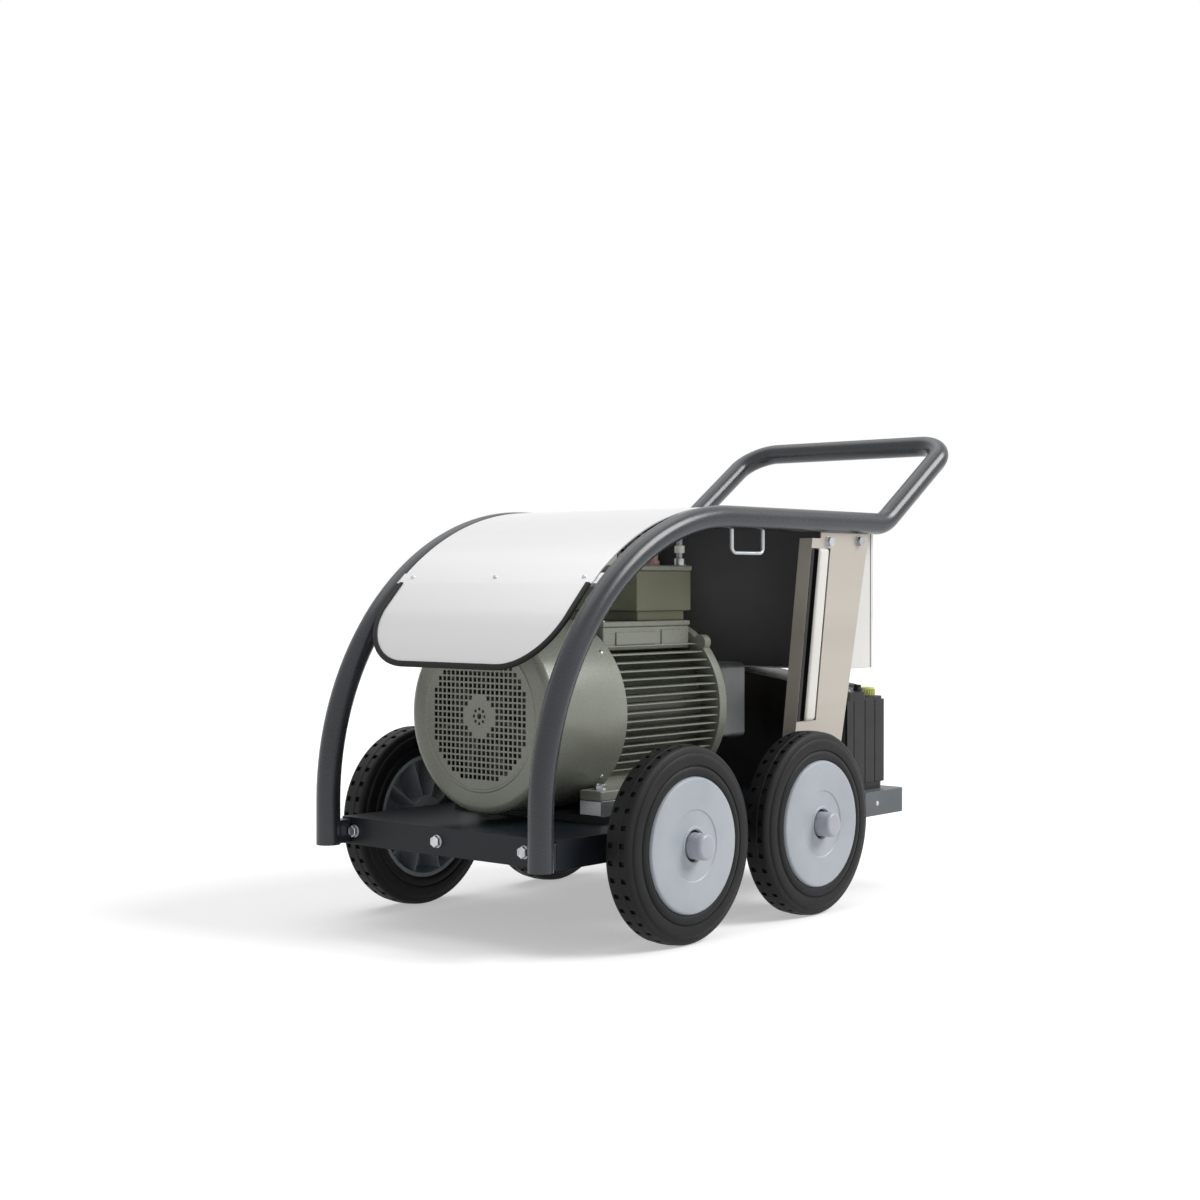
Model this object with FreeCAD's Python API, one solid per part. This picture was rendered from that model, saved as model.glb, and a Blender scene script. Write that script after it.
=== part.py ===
import FreeCAD, Part
import math
import os
from FreeCAD import Vector

# Mobile electric high-pressure washer on four solid-rubber wheels. Millimetres.
# +X runs from the fan end to the push handle, +Z is up, and the origin lies on the ground under the
# middle of the machine. X sizes below are measured from the front axle unless they say otherwise.

# ---- wheels and axles
WHEEL_DIA = 300.0
WHEEL_BASE = 339.0
TYRE_WIDTH = 50.0
WHEEL_CLEARANCE = 28.7
TYRE_BULGE = 2.5
TYRE_SHOULDER = 5.0
DISC_RADIUS = 103.0
DISC_PROUD = 4.5
DISC_RIM = 8.0
DISC_WEB = 12.0
HUB_RADIUS = 34.0
CAP_RADIUS = 20.0
CAP_LENGTH = 24.5
CAP_WALL = 3.0
AXLE_RADIUS = 12.5
AXLE_COLLAR = 20.0
AXLE_END_WASHER = 15.0
AXLE_END_THICK = 3.2
RUNNING_FIT = 0.05
FACE_GAP = 0.4

# ---- chassis
DECK_Z = 171.8
DECK_HALF_WIDTH = 228.3
CHASSIS_FRONT = 215.8
FLANGE_HEIGHT = 42.8
SHEET = 3.0
TRAY_LENGTH = 816.0
REAR_TRAY_LENGTH = 133.0
TRAY_BEHIND_TANK = 21.2
REAR_CORNER = 14.0
FRONT_BOLT_Y = (199.0, 14.5, -165.0)
OUTLET_TAB = (3.0, 28.0, 46.0)

# ---- bent tube frame
TUBE_RADIUS = 19.0
TUBE_WALL = 2.5
TUBE_INSET = 2.7
LEG_FRONT = 247.5
LEG_FOOT_Z = 130.4
RAIL_Z = 646.8
ARC_RADIUS = 446.4
HANDLE_JOINT_X = 540.0
KNEE_X = 660.5
KNEE_RADIUS = 80.0
RISE_ANGLE = 33.6
CROSSBAR_X = 892.0
CORNER_RADIUS = 62.0
LUG_WIDTH = 20.0
LUG_MARGIN = 3.0

# ---- hood
HOOD_RADIUS = 463.0
HOOD_SHEET = 2.0
HOOD_SIDE_GAP = 1.0
FLAP_BOTTOM_ANGLE = 28.0
FLAP_TOP_ANGLE = 47.5
FLAP_SIDE_MARGIN = 7.6
FLAP_CORNER = 100.0
TRIM_PROUD = 5.0
TRIM_GRIP = 4.0
TRIM_THICK = 2.2
HOOD_REAR_X = 676.0
CROSSBAR_ANGLE = 49.2
CROSSBAR_SIZE = (24.0, 6.0)
HOOD_SCREW_Y = 183.0

# ---- fan end of the motor
MOTOR_AXIS_Z = 336.4
COWL_RADIUS = 151.4
COWL_FRONT = 140.0
COWL_LENGTH = 175.8
COWL_SHEET = 2.0
COWL_RIM = 12.0
GRILLE_RADIUS = 105.4
GRILLE_PITCH = 9.4
GRILLE_HOLE = 6.4
GRILLE_HUB = 27.0
FAN_RADIUS = 118.0
FAN_HUB = 34.0
FAN_WIDTH = 42.0
FAN_BLADES = 7
FAN_BLADE_THICK = 4.0
FAN_FRONT_GAP = 14.0

# ---- stator, rotor and shields
HOUSING_RADIUS = 112.0
HOUSING_WALL = 8.0
HOUSING_START = 20.0
HOUSING_LENGTH = 258.0
FIN_TIP_RADIUS = 146.0
FIN_PITCH = 13.0
FIN_THICK = 3.0
FIN_COUNT = 17
SHIELD_THICK = 12.0
DRIVE_SHIELD_THICK = 24.0
DRIVE_SHIELD_RADIUS = 150.0
SHIELD_EAR = 13.0
CORE_LENGTH = 180.0
ROTOR_RADIUS = 66.0
AIR_GAP = 0.6
SHAFT_RADIUS = 19.0
BEARING_RADIUS = 40.0
BEARING_WIDTH = 18.0
SHAFT_TO_COUPLING = 30.0

# ---- motor feet
RAIL_HEIGHT = 12.0
RAIL_WIDTH = 56.0
SPACER_HEIGHT = 22.0
SPACER_SIZE = (47.0, 42.0)
FOOT_Y = 130.0
FOOT_FRONT_X = -5.0
FOOT_PITCH = 210.0
FOOT_THICK = 16.0
FOOT_WIDTH = 44.0

# ---- terminal and junction boxes
TERMINAL = (47.0, 268.0, 92.0)
TERMINAL_Z = (434.0, 471.0)
LID_THICK = 9.0
LID_OVERHANG = 2.0
NECK = (147.0, 270.0, 80.0)
NECK_HEIGHT = 16.0
JUNCTION = (136.0, 279.0, 88.0)
JUNCTION_HEIGHT = 66.0
BOX_WALL = 4.0
CONDUIT_X = 261.0
CONDUIT_Y = -78.0
CONDUIT_RADIUS = 5.0
CONDUIT_Z = 642.0
CONDUIT_BEND = 24.0

# ---- pump, measured along the motor shaft from the drive shield
BELL_LENGTH = 66.0
BELL_RADIUS = 78.0
BELL_BORE = 52.0
BELL_FLANGE = 96.0
BELL_FLANGE_THICK = 10.0
COUPLING_RADIUS = 34.0
COUPLING_HUB_LENGTH = 22.0
SPIDER_LENGTH = 8.0
CRANKCASE_LENGTH = 105.0
CRANKCASE_Y = (-58.0, 62.0)
CRANKCASE_HALF_HEIGHT = 66.0
CRANKCASE_WALL = 10.0
CRANK_RADIUS = 12.5
CRANK_THROW = 6.0
ECCENTRIC_RADIUS = 20.0
ECCENTRIC_WIDTH = 18.0
PLUNGER_PITCH = 27.0
PLUNGER_RADIUS = 9.0
PLUNGER_START_Y = 30.0
PLUNGER_END_Y = 122.0
HEAD_DEPTH = 88.0
HEAD_HALF_HEIGHT = 36.0
HEAD_LENGTH = 92.0
VALVE_CAP_RADIUS = 10.0
VALVE_CAP_HEIGHT = 8.0
UNLOADER_RADIUS = 13.0
UNLOADER_HEIGHT = 52.0
KNOB_RADIUS = 18.0
KNOB_HEIGHT = 24.0
STEM_RADIUS = 4.0

# ---- water tank; its recess and cap are measured from its front and from its right side
TANK_LENGTH = 134.0
TANK_SIDE_MARGIN = 28.3
TANK_LOW_Z = 348.0
TANK_HIGH_Z = 385.0
TANK_SLOPE_END_Y = 56.0
TANK_WALL = 4.0
TANK_CORNER = 18.0
RECESS = (77.0, 60.0, 338.0)
CAP_CENTRE = (107.0, 28.0)
NECK_RADIUS = 14.0
NECK_BORE = 11.0
NECK_RISE = 5.0
TANK_CAP_RADIUS = 19.0
TANK_CAP_HEIGHT = 10.0
INLET_Y = 120.0
INLET_Z = 300.0
INLET_RADIUS = 13.2
INLET_LENGTH = 26.0
INLET_BORE = 8.0
SUCTION_Y = 125.0
SUCTION_Z = 220.0
HOSE_RADIUS = 9.0
HOSE_BEND = 26.0
PIPE_TANK_GAP = 3.0
PIPE_Z = 200.0
PIPE_RADIUS = 6.0
PIPE_BEND = 20.0
OUTLET_LENGTH = 34.0
OUTLET_RADIUS = 11.0
OUTLET_BORE = 5.5

# ---- electrical cabinet
CABINET_FRONT = 545.0
CABINET_DEPTH = 119.0
CABINET_SIDE_GAP = 9.6
CABINET_BOTTOM = 390.0
CABINET_SHEET = 2.0
CABINET_LIP = 14.0
GASKET = 1.5
DOOR_THICK = 7.0
DOOR_SKIN = 2.0
HINGE_OFFSET = 4.5
DOOR_TOP_GAP = 2.0
KNUCKLE_RADIUS = 3.5
PIN_RADIUS = 1.8
KNUCKLE_LENGTH = 14.0
HINGE_Z = (440.0, 570.0)
PLATE_GAP = 6.0
SWITCH_RADIUS = 22.0
SWITCH_HEIGHT = 16.0
SWITCH_Y = 100.0
BUTTON_RADIUS = 11.0
BUTTON_HEIGHT = 7.0
BUTTON_TRAVEL = 3.0
BEZEL_WALL = 3.5
BUTTON_Y = (20.0, -40.0)
CONTROL_Z = 560.0
LATCH_INSET = 30.0
LATCH_Z = 520.0
LATCH_RADIUS = 9.0

# ---- uprights, ducts, hook
UPRIGHT_SHEET = 3.0
UPRIGHT_FLANGE = 26.0
UPRIGHT_LEFT = (367.0, 435.0)
UPRIGHT_TAB = (462.0, 616.0)
UPRIGHT_RIGHT_FOOT = 501.0
UPRIGHT_SHOULDER_Z = 618.0
UPRIGHT_BOLTS = ((485.3, 612.4), (579.7, 614.9))
SPACER_TUBES = ((579.7, 614.9), (553.0, 430.0))
SPACER_TUBE_RADIUS = 8.0
SLOT_Z = (309.0, 601.0)
SLOT_OFFSET = 8.0
SLOT_WIDTH = 50.0
DUCT_OFFSET = 20.0
DUCT_WIDTH = 30.0
DUCT_BEHIND = 7.6
DUCT_PROUD = 6.4
HOOK_X = (208.0, 293.0)
HOOK_Z = 590.0
HOOK_RADIUS = 3.0
HOOK_BEND = 10.0

# ---- fasteners
BOLT_RADIUS = 5.0
BOLT_HEAD_FLATS = 16.0
BOLT_HEAD = 7.0
BOLT_SHANK = 14.0
FOOT_BOLT_SHANK = 56.0
SCREW_RADIUS = 2.0
SCREW_HEAD_RADIUS = 4.0
SCREW_HEAD = 2.4
SCREW_SHANK = 6.0
COWL_SCREW_X = 14.0

# ---- places worked out from the sizes above
WHEEL_RADIUS = WHEEL_DIA / 2
TYRE_CENTRE_Y = DECK_HALF_WIDTH + WHEEL_CLEARANCE + TYRE_WIDTH / 2
TUBE_Y = DECK_HALF_WIDTH - TUBE_INSET
HANDLE_END = CROSSBAR_X + TUBE_RADIUS
FRAME_FRONT = LEG_FRONT + TUBE_RADIUS
AX = (FRAME_FRONT - HANDLE_END) / 2
REAR_AX = AX + WHEEL_BASE
ARC_X = AX - LEG_FRONT + ARC_RADIUS
ARC_Z = RAIL_Z - ARC_RADIUS
TUBE_INNER_Y = TUBE_Y - TUBE_RADIUS
CROSSBAR_Z = RAIL_Z + (CROSSBAR_X - KNEE_X) * math.tan(math.radians(RISE_ANGLE))
CHASSIS_Z = DECK_Z - FLANGE_HEIGHT
CHASSIS_X = AX - CHASSIS_FRONT
REAR_TRAY_X = CHASSIS_X + TRAY_LENGTH
CHASSIS_END = REAR_TRAY_X + REAR_TRAY_LENGTH
TANK_END = CHASSIS_END - TRAY_BEHIND_TANK
TANK_FRONT = TANK_END - TANK_LENGTH
TANK_HALF_WIDTH = DECK_HALF_WIDTH - TANK_SIDE_MARGIN
PIPE_Y = TANK_HALF_WIDTH + PIPE_TANK_GAP + PIPE_RADIUS
CABINET_HALF_WIDTH = TUBE_INNER_Y - CABINET_SIDE_GAP
HOOD_HALF_WIDTH = TUBE_INNER_Y - HOOD_SIDE_GAP
FLAP_HALF_WIDTH = TUBE_INNER_Y - FLAP_SIDE_MARGIN
HOOD_TOP_Z = ARC_Z + HOOD_RADIUS
HOOD_UNDER_Z = HOOD_TOP_Z - HOOD_SHEET
COWL_X = AX - COWL_FRONT
COWL_END = COWL_X + COWL_LENGTH
HOUSING_X = AX + HOUSING_START
HOUSING_END = HOUSING_X + HOUSING_LENGTH
SHIELD_END = HOUSING_END + DRIVE_SHIELD_THICK
BELL_END = SHIELD_END + BELL_LENGTH
CRANKCASE_END = BELL_END + CRANKCASE_LENGTH
FOOT_BASE_Z = DECK_Z + RAIL_HEIGHT + SPACER_HEIGHT
CORE_RADIUS = HOUSING_RADIUS - HOUSING_WALL
HEAD_Y = CRANKCASE_Y[1]
HEAD_X = (BELL_END + CRANKCASE_END - HEAD_LENGTH) / 2
HEAD_MID_X = (BELL_END + CRANKCASE_END) / 2
CABINET_X = AX + CABINET_FRONT
CABINET_END = CABINET_X + CABINET_DEPTH
CABINET_TOP = HOOD_UNDER_Z
DOOR_TOP = CABINET_TOP - DOOR_TOP_GAP
DOOR_X = CABINET_END + GASKET
DOOR_FACE_X = DOOR_X + DOOR_THICK
HINGE_X = DOOR_X + DOOR_THICK / 2
HINGE_Y = CABINET_HALF_WIDTH + HINGE_OFFSET
DISC_FACE_Y = TYRE_CENTRE_Y + TYRE_WIDTH / 2 + DISC_PROUD
HUB_INNER_Y = TYRE_CENTRE_Y - TYRE_WIDTH / 2
LONG = 2000.0
X = Vector(1, 0, 0)
Y = Vector(0, 1, 0)
Z = Vector(0, 0, 1)


def box(x, y, z):
    """A block from three (low, high) pairs."""
    size = [high - low for low, high in (x, y, z)]
    return Part.makeBox(size[0], size[1], size[2], Vector(x[0], y[0], z[0]))


def rod(start, axis, radius, length):
    """A round bar from a point along an axis."""
    return Part.makeCylinder(radius, length, start, axis)


def ring(start, axis, outer, inner, length):
    """A sleeve from a point along an axis."""
    return rod(start, axis, outer, length).cut(rod(start, axis, inner, length))


def plate(points, y_low, y_high):
    """A flat plate with an outline in X and Z, between two Y values."""
    outline = [Vector(x, y_low, z) for x, z in points]
    return Part.Face(Part.makePolygon(outline + outline[:1])).extrude(Vector(0, y_high - y_low, 0))


def hex_prism(start, axis, flats, height):
    """A hexagonal bolt head standing on a point."""
    prism = Part.Face(Part.makePolygon([
        Vector(flats / math.sqrt(3) * math.cos(math.radians(60 * k)),
               flats / math.sqrt(3) * math.sin(math.radians(60 * k)), 0) for k in range(7)
    ])).extrude(Vector(0, 0, height))
    prism.Placement = FreeCAD.Placement(start, FreeCAD.Rotation(Z, axis))
    return prism


def bent_path(points, radii):
    """Straight runs joined by tangent arcs, as one wire."""
    edges = []
    start = points[0]
    for k in range(1, len(points) - 1):
        corner = points[k]
        back = (points[k - 1] - corner).normalize()
        ahead = (points[k + 1] - corner).normalize()
        half = back.getAngle(ahead) / 2
        reach = radii[k - 1] / math.tan(half)
        enter = corner + back * reach
        leave = corner + ahead * reach
        middle = (back + ahead).normalize()
        top = corner + middle * (radii[k - 1] / math.sin(half) - radii[k - 1])
        if (enter - start).Length > 1e-6:
            edges.append(Part.makeLine(start, enter))
        edges.append(Part.Arc(enter, top, leave).toShape())
        start = leave
    edges.append(Part.makeLine(start, points[-1]))
    return Part.Wire(edges)


def pipe(path, radius):
    """A round bar swept along a wire."""
    first = path.Edges[0]
    start = first.valueAt(first.FirstParameter)
    heading = first.tangentAt(first.FirstParameter)
    profile = Part.Wire(Part.makeCircle(radius, start, heading))
    return path.makePipeShell([profile], True, True)


def turned(profile, centre, axis_is_y=True):
    """A ring turned about the Y axis through a centre, from (y, radius) points."""
    outline = [Vector(centre.x + r, y, centre.z) for y, r in profile]
    face = Part.Face(Part.makePolygon(outline + outline[:1]))
    return face.revolve(centre, Y, 360)


def mirrored(shape):
    """The same piece on the other side of the machine."""
    return shape.mirror(Vector(0, 0, 0), Y)


def group(shapes):
    """Several separate solids in one node."""
    solids = []
    for shape in shapes:
        solids.extend(shape.Solids)
    return Part.makeCompound(solids)


# ---------------------------------------------------------------- wheels

def tyre(x, side):
    """Solid rubber tyre with slightly bulged sidewalls."""
    half = TYRE_WIDTH / 2
    mid = (WHEEL_RADIUS + DISC_RADIUS) / 2
    profile = [
        (-half, DISC_RADIUS),
        (-half - TYRE_BULGE, mid),
        (-half, WHEEL_RADIUS - TYRE_SHOULDER),
        (-half + TYRE_SHOULDER, WHEEL_RADIUS),
        (half - TYRE_SHOULDER, WHEEL_RADIUS),
        (half, WHEEL_RADIUS - TYRE_SHOULDER),
        (half + TYRE_BULGE, mid),
        (half, DISC_RADIUS),
    ]
    centre = Vector(x, 0, WHEEL_RADIUS)
    return turned([(side * (y + TYRE_CENTRE_Y), r) for y, r in profile], centre)


def wheel_disc(x, side):
    """Moulded plastic wheel centre and its push-on hub cap, as two solids."""
    inner = HUB_INNER_Y
    face = DISC_FACE_Y
    web = face - DISC_WEB
    bore = AXLE_RADIUS + RUNNING_FIT
    profile = [
        (inner, bore),
        (inner, HUB_RADIUS),
        (web, HUB_RADIUS),
        (web, DISC_RADIUS - DISC_RIM),
        (inner, DISC_RADIUS - DISC_RIM),
        (inner, DISC_RADIUS),
        (face - DISC_PROUD, DISC_RADIUS),
        (face, DISC_RADIUS - DISC_PROUD / 2),
        (face, bore),
    ]
    centre = Vector(x, 0, WHEEL_RADIUS)
    body = turned([(side * y, r) for y, r in profile], centre)
    end = face + CAP_LENGTH
    cavity = CAP_RADIUS - CAP_WALL
    cap_profile = [
        (face, cavity),
        (face, CAP_RADIUS),
        (end - CAP_WALL, CAP_RADIUS),
        (end, CAP_RADIUS - CAP_WALL),
        (end, 0),
        (end - CAP_WALL, 0),
        (end - CAP_WALL, cavity),
    ]
    cap = turned([(side * y, r) for y, r in cap_profile], centre)
    return group([body, cap])


def axles():
    """Two steel axles with welded collars inside the wheels and riveted end washers."""
    bars = []
    for x in (AX, REAR_AX):
        reach = DISC_FACE_Y + FACE_GAP + AXLE_END_THICK
        bar = rod(Vector(x, -reach, WHEEL_RADIUS), Y, AXLE_RADIUS, 2 * reach)
        collar = HUB_INNER_Y - FACE_GAP - DECK_HALF_WIDTH
        for side in (-1, 1):
            inner = Vector(x, side * DECK_HALF_WIDTH, WHEEL_RADIUS)
            outer = Vector(x, side * (DISC_FACE_Y + FACE_GAP), WHEEL_RADIUS)
            bar = bar.fuse(rod(inner, Y * side, AXLE_COLLAR, collar))
            bar = bar.fuse(rod(outer, Y * side, AXLE_END_WASHER, AXLE_END_THICK))
        bars.append(bar.removeSplitter())
    return group(bars)


# ---------------------------------------------------------------- chassis

def down_turned_tray(x_low, x_high, corner):
    """A folded sheet tray, open underneath."""
    outer = box((x_low, x_high), (-DECK_HALF_WIDTH, DECK_HALF_WIDTH), (CHASSIS_Z, DECK_Z))
    if corner:
        ends = [e for e in outer.Edges if abs(e.tangentAt(0).z) > 0.9 and e.CenterOfMass.x > x_high - 1]
        outer = outer.makeFillet(corner, ends)
    inner = box((x_low + SHEET, x_high - SHEET),
                (SHEET - DECK_HALF_WIDTH, DECK_HALF_WIDTH - SHEET), (CHASSIS_Z, DECK_Z - SHEET))
    if corner:
        ends = [e for e in inner.Edges
                if abs(e.tangentAt(0).z) > 0.9 and e.CenterOfMass.x > x_high - SHEET - 1]
        inner = inner.makeFillet(corner - SHEET, ends)
    return outer.cut(inner)


def bolt_hole(start, axis, length):
    return rod(start, axis, BOLT_RADIUS, length)


def chassis_tray():
    """Main deck with side and end flanges, drilled for the axles and the front bolts."""
    tray = down_turned_tray(CHASSIS_X, REAR_TRAY_X, 0)
    for x in (AX, REAR_AX):
        tray = tray.cut(rod(Vector(x, -DECK_HALF_WIDTH, WHEEL_RADIUS), Y, AXLE_RADIUS, 2 * DECK_HALF_WIDTH))
    for y in FRONT_BOLT_Y:
        tray = tray.cut(bolt_hole(Vector(CHASSIS_X, y, front_bolt_z()), X, SHEET))
    for x, y in foot_places():
        tray = tray.cut(bolt_hole(Vector(x, y, DECK_Z - SHEET), Z, SHEET))
    return tray


def rear_tray():
    """Rear end of the deck, with rounded corners and a tab for the outlet."""
    tray = down_turned_tray(REAR_TRAY_X, CHASSIS_END, REAR_CORNER)
    thick, wide, high = OUTLET_TAB
    tab_x = outlet_x()
    tab = box((tab_x - thick, tab_x), (PIPE_Y - wide / 2, PIPE_Y + wide / 2), (DECK_Z, DECK_Z + high))
    tab = tab.cut(rod(Vector(tab_x - thick, PIPE_Y, PIPE_Z), X, PIPE_RADIUS, thick))
    return tray.fuse(tab)


def front_bolt_z():
    return DECK_Z - FLANGE_HEIGHT / 2


def outlet_x():
    return CHASSIS_END - REAR_CORNER


def foot_places():
    """Centres of the four motor foot bolts."""
    return [(AX + FOOT_FRONT_X + step * FOOT_PITCH, side * FOOT_Y) for step in (0, 1) for side in (-1, 1)]


def motor_rails():
    """Two cross rails welded to the deck under the motor feet."""
    rails = []
    for step in (0, 1):
        x = AX + FOOT_FRONT_X + step * FOOT_PITCH
        rail = box((x - RAIL_WIDTH / 2, x + RAIL_WIDTH / 2),
                   (-FOOT_Y - RAIL_WIDTH / 2, FOOT_Y + RAIL_WIDTH / 2),
                   (DECK_Z, DECK_Z + RAIL_HEIGHT))
        for side in (-1, 1):
            rail = rail.cut(bolt_hole(Vector(x, side * FOOT_Y, DECK_Z), Z, RAIL_HEIGHT))
        rails.append(rail)
    return group(rails)


def motor_spacers():
    """Four blocks that lift the motor feet off the rails."""
    blocks = []
    base = DECK_Z + RAIL_HEIGHT
    for x, y in foot_places():
        block = box((x - SPACER_SIZE[0] / 2, x + SPACER_SIZE[0] / 2),
                    (y - SPACER_SIZE[1] / 2, y + SPACER_SIZE[1] / 2), (base, base + SPACER_HEIGHT))
        blocks.append(block.cut(bolt_hole(Vector(x, y, base), Z, SPACER_HEIGHT)))
    return group(blocks)


# ---------------------------------------------------------------- tube frame

def side_path(inset):
    foot = Vector(AX - LEG_FRONT, -TUBE_Y, LEG_FOOT_Z + inset)
    shoulder = Vector(AX - LEG_FRONT, -TUBE_Y, RAIL_Z)
    end = Vector(AX + HANDLE_JOINT_X, -TUBE_Y, RAIL_Z)
    return bent_path([foot, shoulder, end], [ARC_RADIUS])


def frame_tube():
    """Front leg, quarter bend and rail of one side, with the welded foot lug. Right-hand side."""
    bar = pipe(side_path(0), TUBE_RADIUS)
    lug_x = AX - LEG_FRONT
    lug = box((lug_x, CHASSIS_X), (-DECK_HALF_WIDTH, -DECK_HALF_WIDTH + LUG_WIDTH),
              (CHASSIS_Z + LUG_MARGIN, DECK_Z - LUG_MARGIN))
    return bar.fuse(lug).cut(pipe(side_path(TUBE_WALL), TUBE_RADIUS - TUBE_WALL))


def handle_path():
    near = [
        Vector(AX + HANDLE_JOINT_X, -TUBE_Y, RAIL_Z),
        Vector(AX + KNEE_X, -TUBE_Y, RAIL_Z),
        Vector(AX + CROSSBAR_X, -TUBE_Y, CROSSBAR_Z),
    ]
    far = [Vector(p.x, -p.y, p.z) for p in reversed(near)]
    return bent_path(near + far, [KNEE_RADIUS, CORNER_RADIUS, CORNER_RADIUS, KNEE_RADIUS])


def handle_tube():
    """Push handle: both rail ends, the rises and the crossbar, bent from one tube."""
    return pipe(handle_path(), TUBE_RADIUS).cut(pipe(handle_path(), TUBE_RADIUS - TUBE_WALL))


# ---------------------------------------------------------------- hood

def arc_point(radius, degrees):
    angle = math.radians(degrees)
    return Vector(ARC_X - radius * math.cos(angle), 0, ARC_Z + radius * math.sin(angle))


def flap_prism(grow):
    """The flap's outline with round lower corners, as a prism along the flap's own normal."""
    middle = (FLAP_BOTTOM_ANGLE + FLAP_TOP_ANGLE) / 2
    reach = math.radians((FLAP_TOP_ANGLE - FLAP_BOTTOM_ANGLE) / 2)
    low = -HOOD_RADIUS * math.sin(reach) - grow
    high = HOOD_RADIUS * math.sin(reach)
    half = FLAP_HALF_WIDTH + grow
    outline = Part.makePlane(2 * half, high - low, Vector(-half, low, 0)).extrude(Vector(0, 0, FLAP_CORNER))
    corners = [e for e in outline.Edges if abs(e.tangentAt(0).z) > 0.9 and e.CenterOfMass.y < low + 1]
    prism = outline.makeFillet(FLAP_CORNER + grow, corners)
    angle = math.radians(middle)
    out = Vector(-math.cos(angle), 0, math.sin(angle))
    up = Vector(math.sin(angle), 0, math.cos(angle))
    base = arc_point(HOOD_RADIUS - FLAP_CORNER / 2, middle)
    side = up.cross(out)
    matrix = FreeCAD.Matrix(side.x, up.x, out.x, base.x, side.y, up.y, out.y, base.y,
                            side.z, up.z, out.z, base.z, 0, 0, 0, 1)
    prism.Placement = FreeCAD.Placement(matrix)
    return prism


def curved_shell(outer, inner):
    """A round shell on the hood's arc axis."""
    start = Vector(ARC_X, -TUBE_INNER_Y, ARC_Z)
    return ring(start, Y, outer, inner, 2 * TUBE_INNER_Y)


def hood_panel():
    """One rolled sheet between the side tubes: the flap, the arc and the flat top."""
    outer = HOOD_RADIUS
    inner = HOOD_RADIUS - HOOD_SHEET
    middle = (FLAP_TOP_ANGLE + 90) / 2
    edges = [
        Part.Arc(arc_point(outer, FLAP_TOP_ANGLE), arc_point(outer, middle), arc_point(outer, 90)).toShape(),
        Part.makeLine(arc_point(outer, 90), Vector(AX + HOOD_REAR_X, 0, HOOD_TOP_Z)),
        Part.makeLine(Vector(AX + HOOD_REAR_X, 0, HOOD_TOP_Z), Vector(AX + HOOD_REAR_X, 0, HOOD_UNDER_Z)),
        Part.makeLine(Vector(AX + HOOD_REAR_X, 0, HOOD_UNDER_Z), arc_point(inner, 90)),
        Part.Arc(arc_point(inner, 90), arc_point(inner, middle), arc_point(inner, FLAP_TOP_ANGLE)).toShape(),
        Part.makeLine(arc_point(inner, FLAP_TOP_ANGLE), arc_point(outer, FLAP_TOP_ANGLE)),
    ]
    top = Part.Face(Part.Wire(edges)).extrude(Vector(0, 2 * HOOD_HALF_WIDTH, 0))
    top.translate(Vector(0, -HOOD_HALF_WIDTH, 0))
    flap = curved_shell(outer, inner).common(flap_prism(0))
    sheet = top.fuse(flap)
    for start, axis in hood_screw_places():
        sheet = sheet.cut(rod(start - axis * HOOD_SHEET, axis, SCREW_RADIUS, HOOD_SHEET))
    return sheet


def hood_trim():
    """Rubber edge strip gripping the flap's sides and lower edge."""
    band = curved_shell(HOOD_RADIUS + TRIM_THICK, HOOD_RADIUS - HOOD_SHEET - TRIM_THICK)
    rim = flap_prism(TRIM_PROUD).cut(flap_prism(-TRIM_GRIP))
    return band.common(rim).cut(hood_panel())


def hood_crossbar():
    """Flat bar between the tubes that the hood is screwed to."""
    wide, thick = CROSSBAR_SIZE
    angle = math.radians(CROSSBAR_ANGLE)
    bar = box((-thick, 0), (-TUBE_Y, TUBE_Y), (-wide / 2, wide / 2))
    seat = math.sqrt((HOOD_RADIUS - HOOD_SHEET) ** 2 - (wide / 2) ** 2)
    bar.rotate(Vector(0, 0, 0), Y, math.degrees(angle) + 180)
    bar.translate(arc_point(seat, CROSSBAR_ANGLE))
    for side in (frame_tube(), mirrored(frame_tube())):
        bar = bar.cut(side)
    solid = max(bar.Solids, key=lambda s: s.Volume)
    for start, axis in hood_screw_places():
        solid = solid.cut(rod(start - axis * SCREW_SHANK, axis, SCREW_RADIUS, SCREW_SHANK))
    return solid


def hood_screw_places():
    """Where the hood's screws stand, and which way their heads point."""
    angle = math.radians(CROSSBAR_ANGLE)
    out = Vector(-math.cos(angle), 0, math.sin(angle))
    base = arc_point(HOOD_RADIUS, CROSSBAR_ANGLE)
    return [(base + Y * y, out) for y in (-HOOD_SCREW_Y, 0, HOOD_SCREW_Y)]


# ---------------------------------------------------------------- motor

def on_axis(x, y=0.0, z=0.0):
    """A point given from the motor's axis."""
    return Vector(x, y, MOTOR_AXIS_Z + z)


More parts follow.
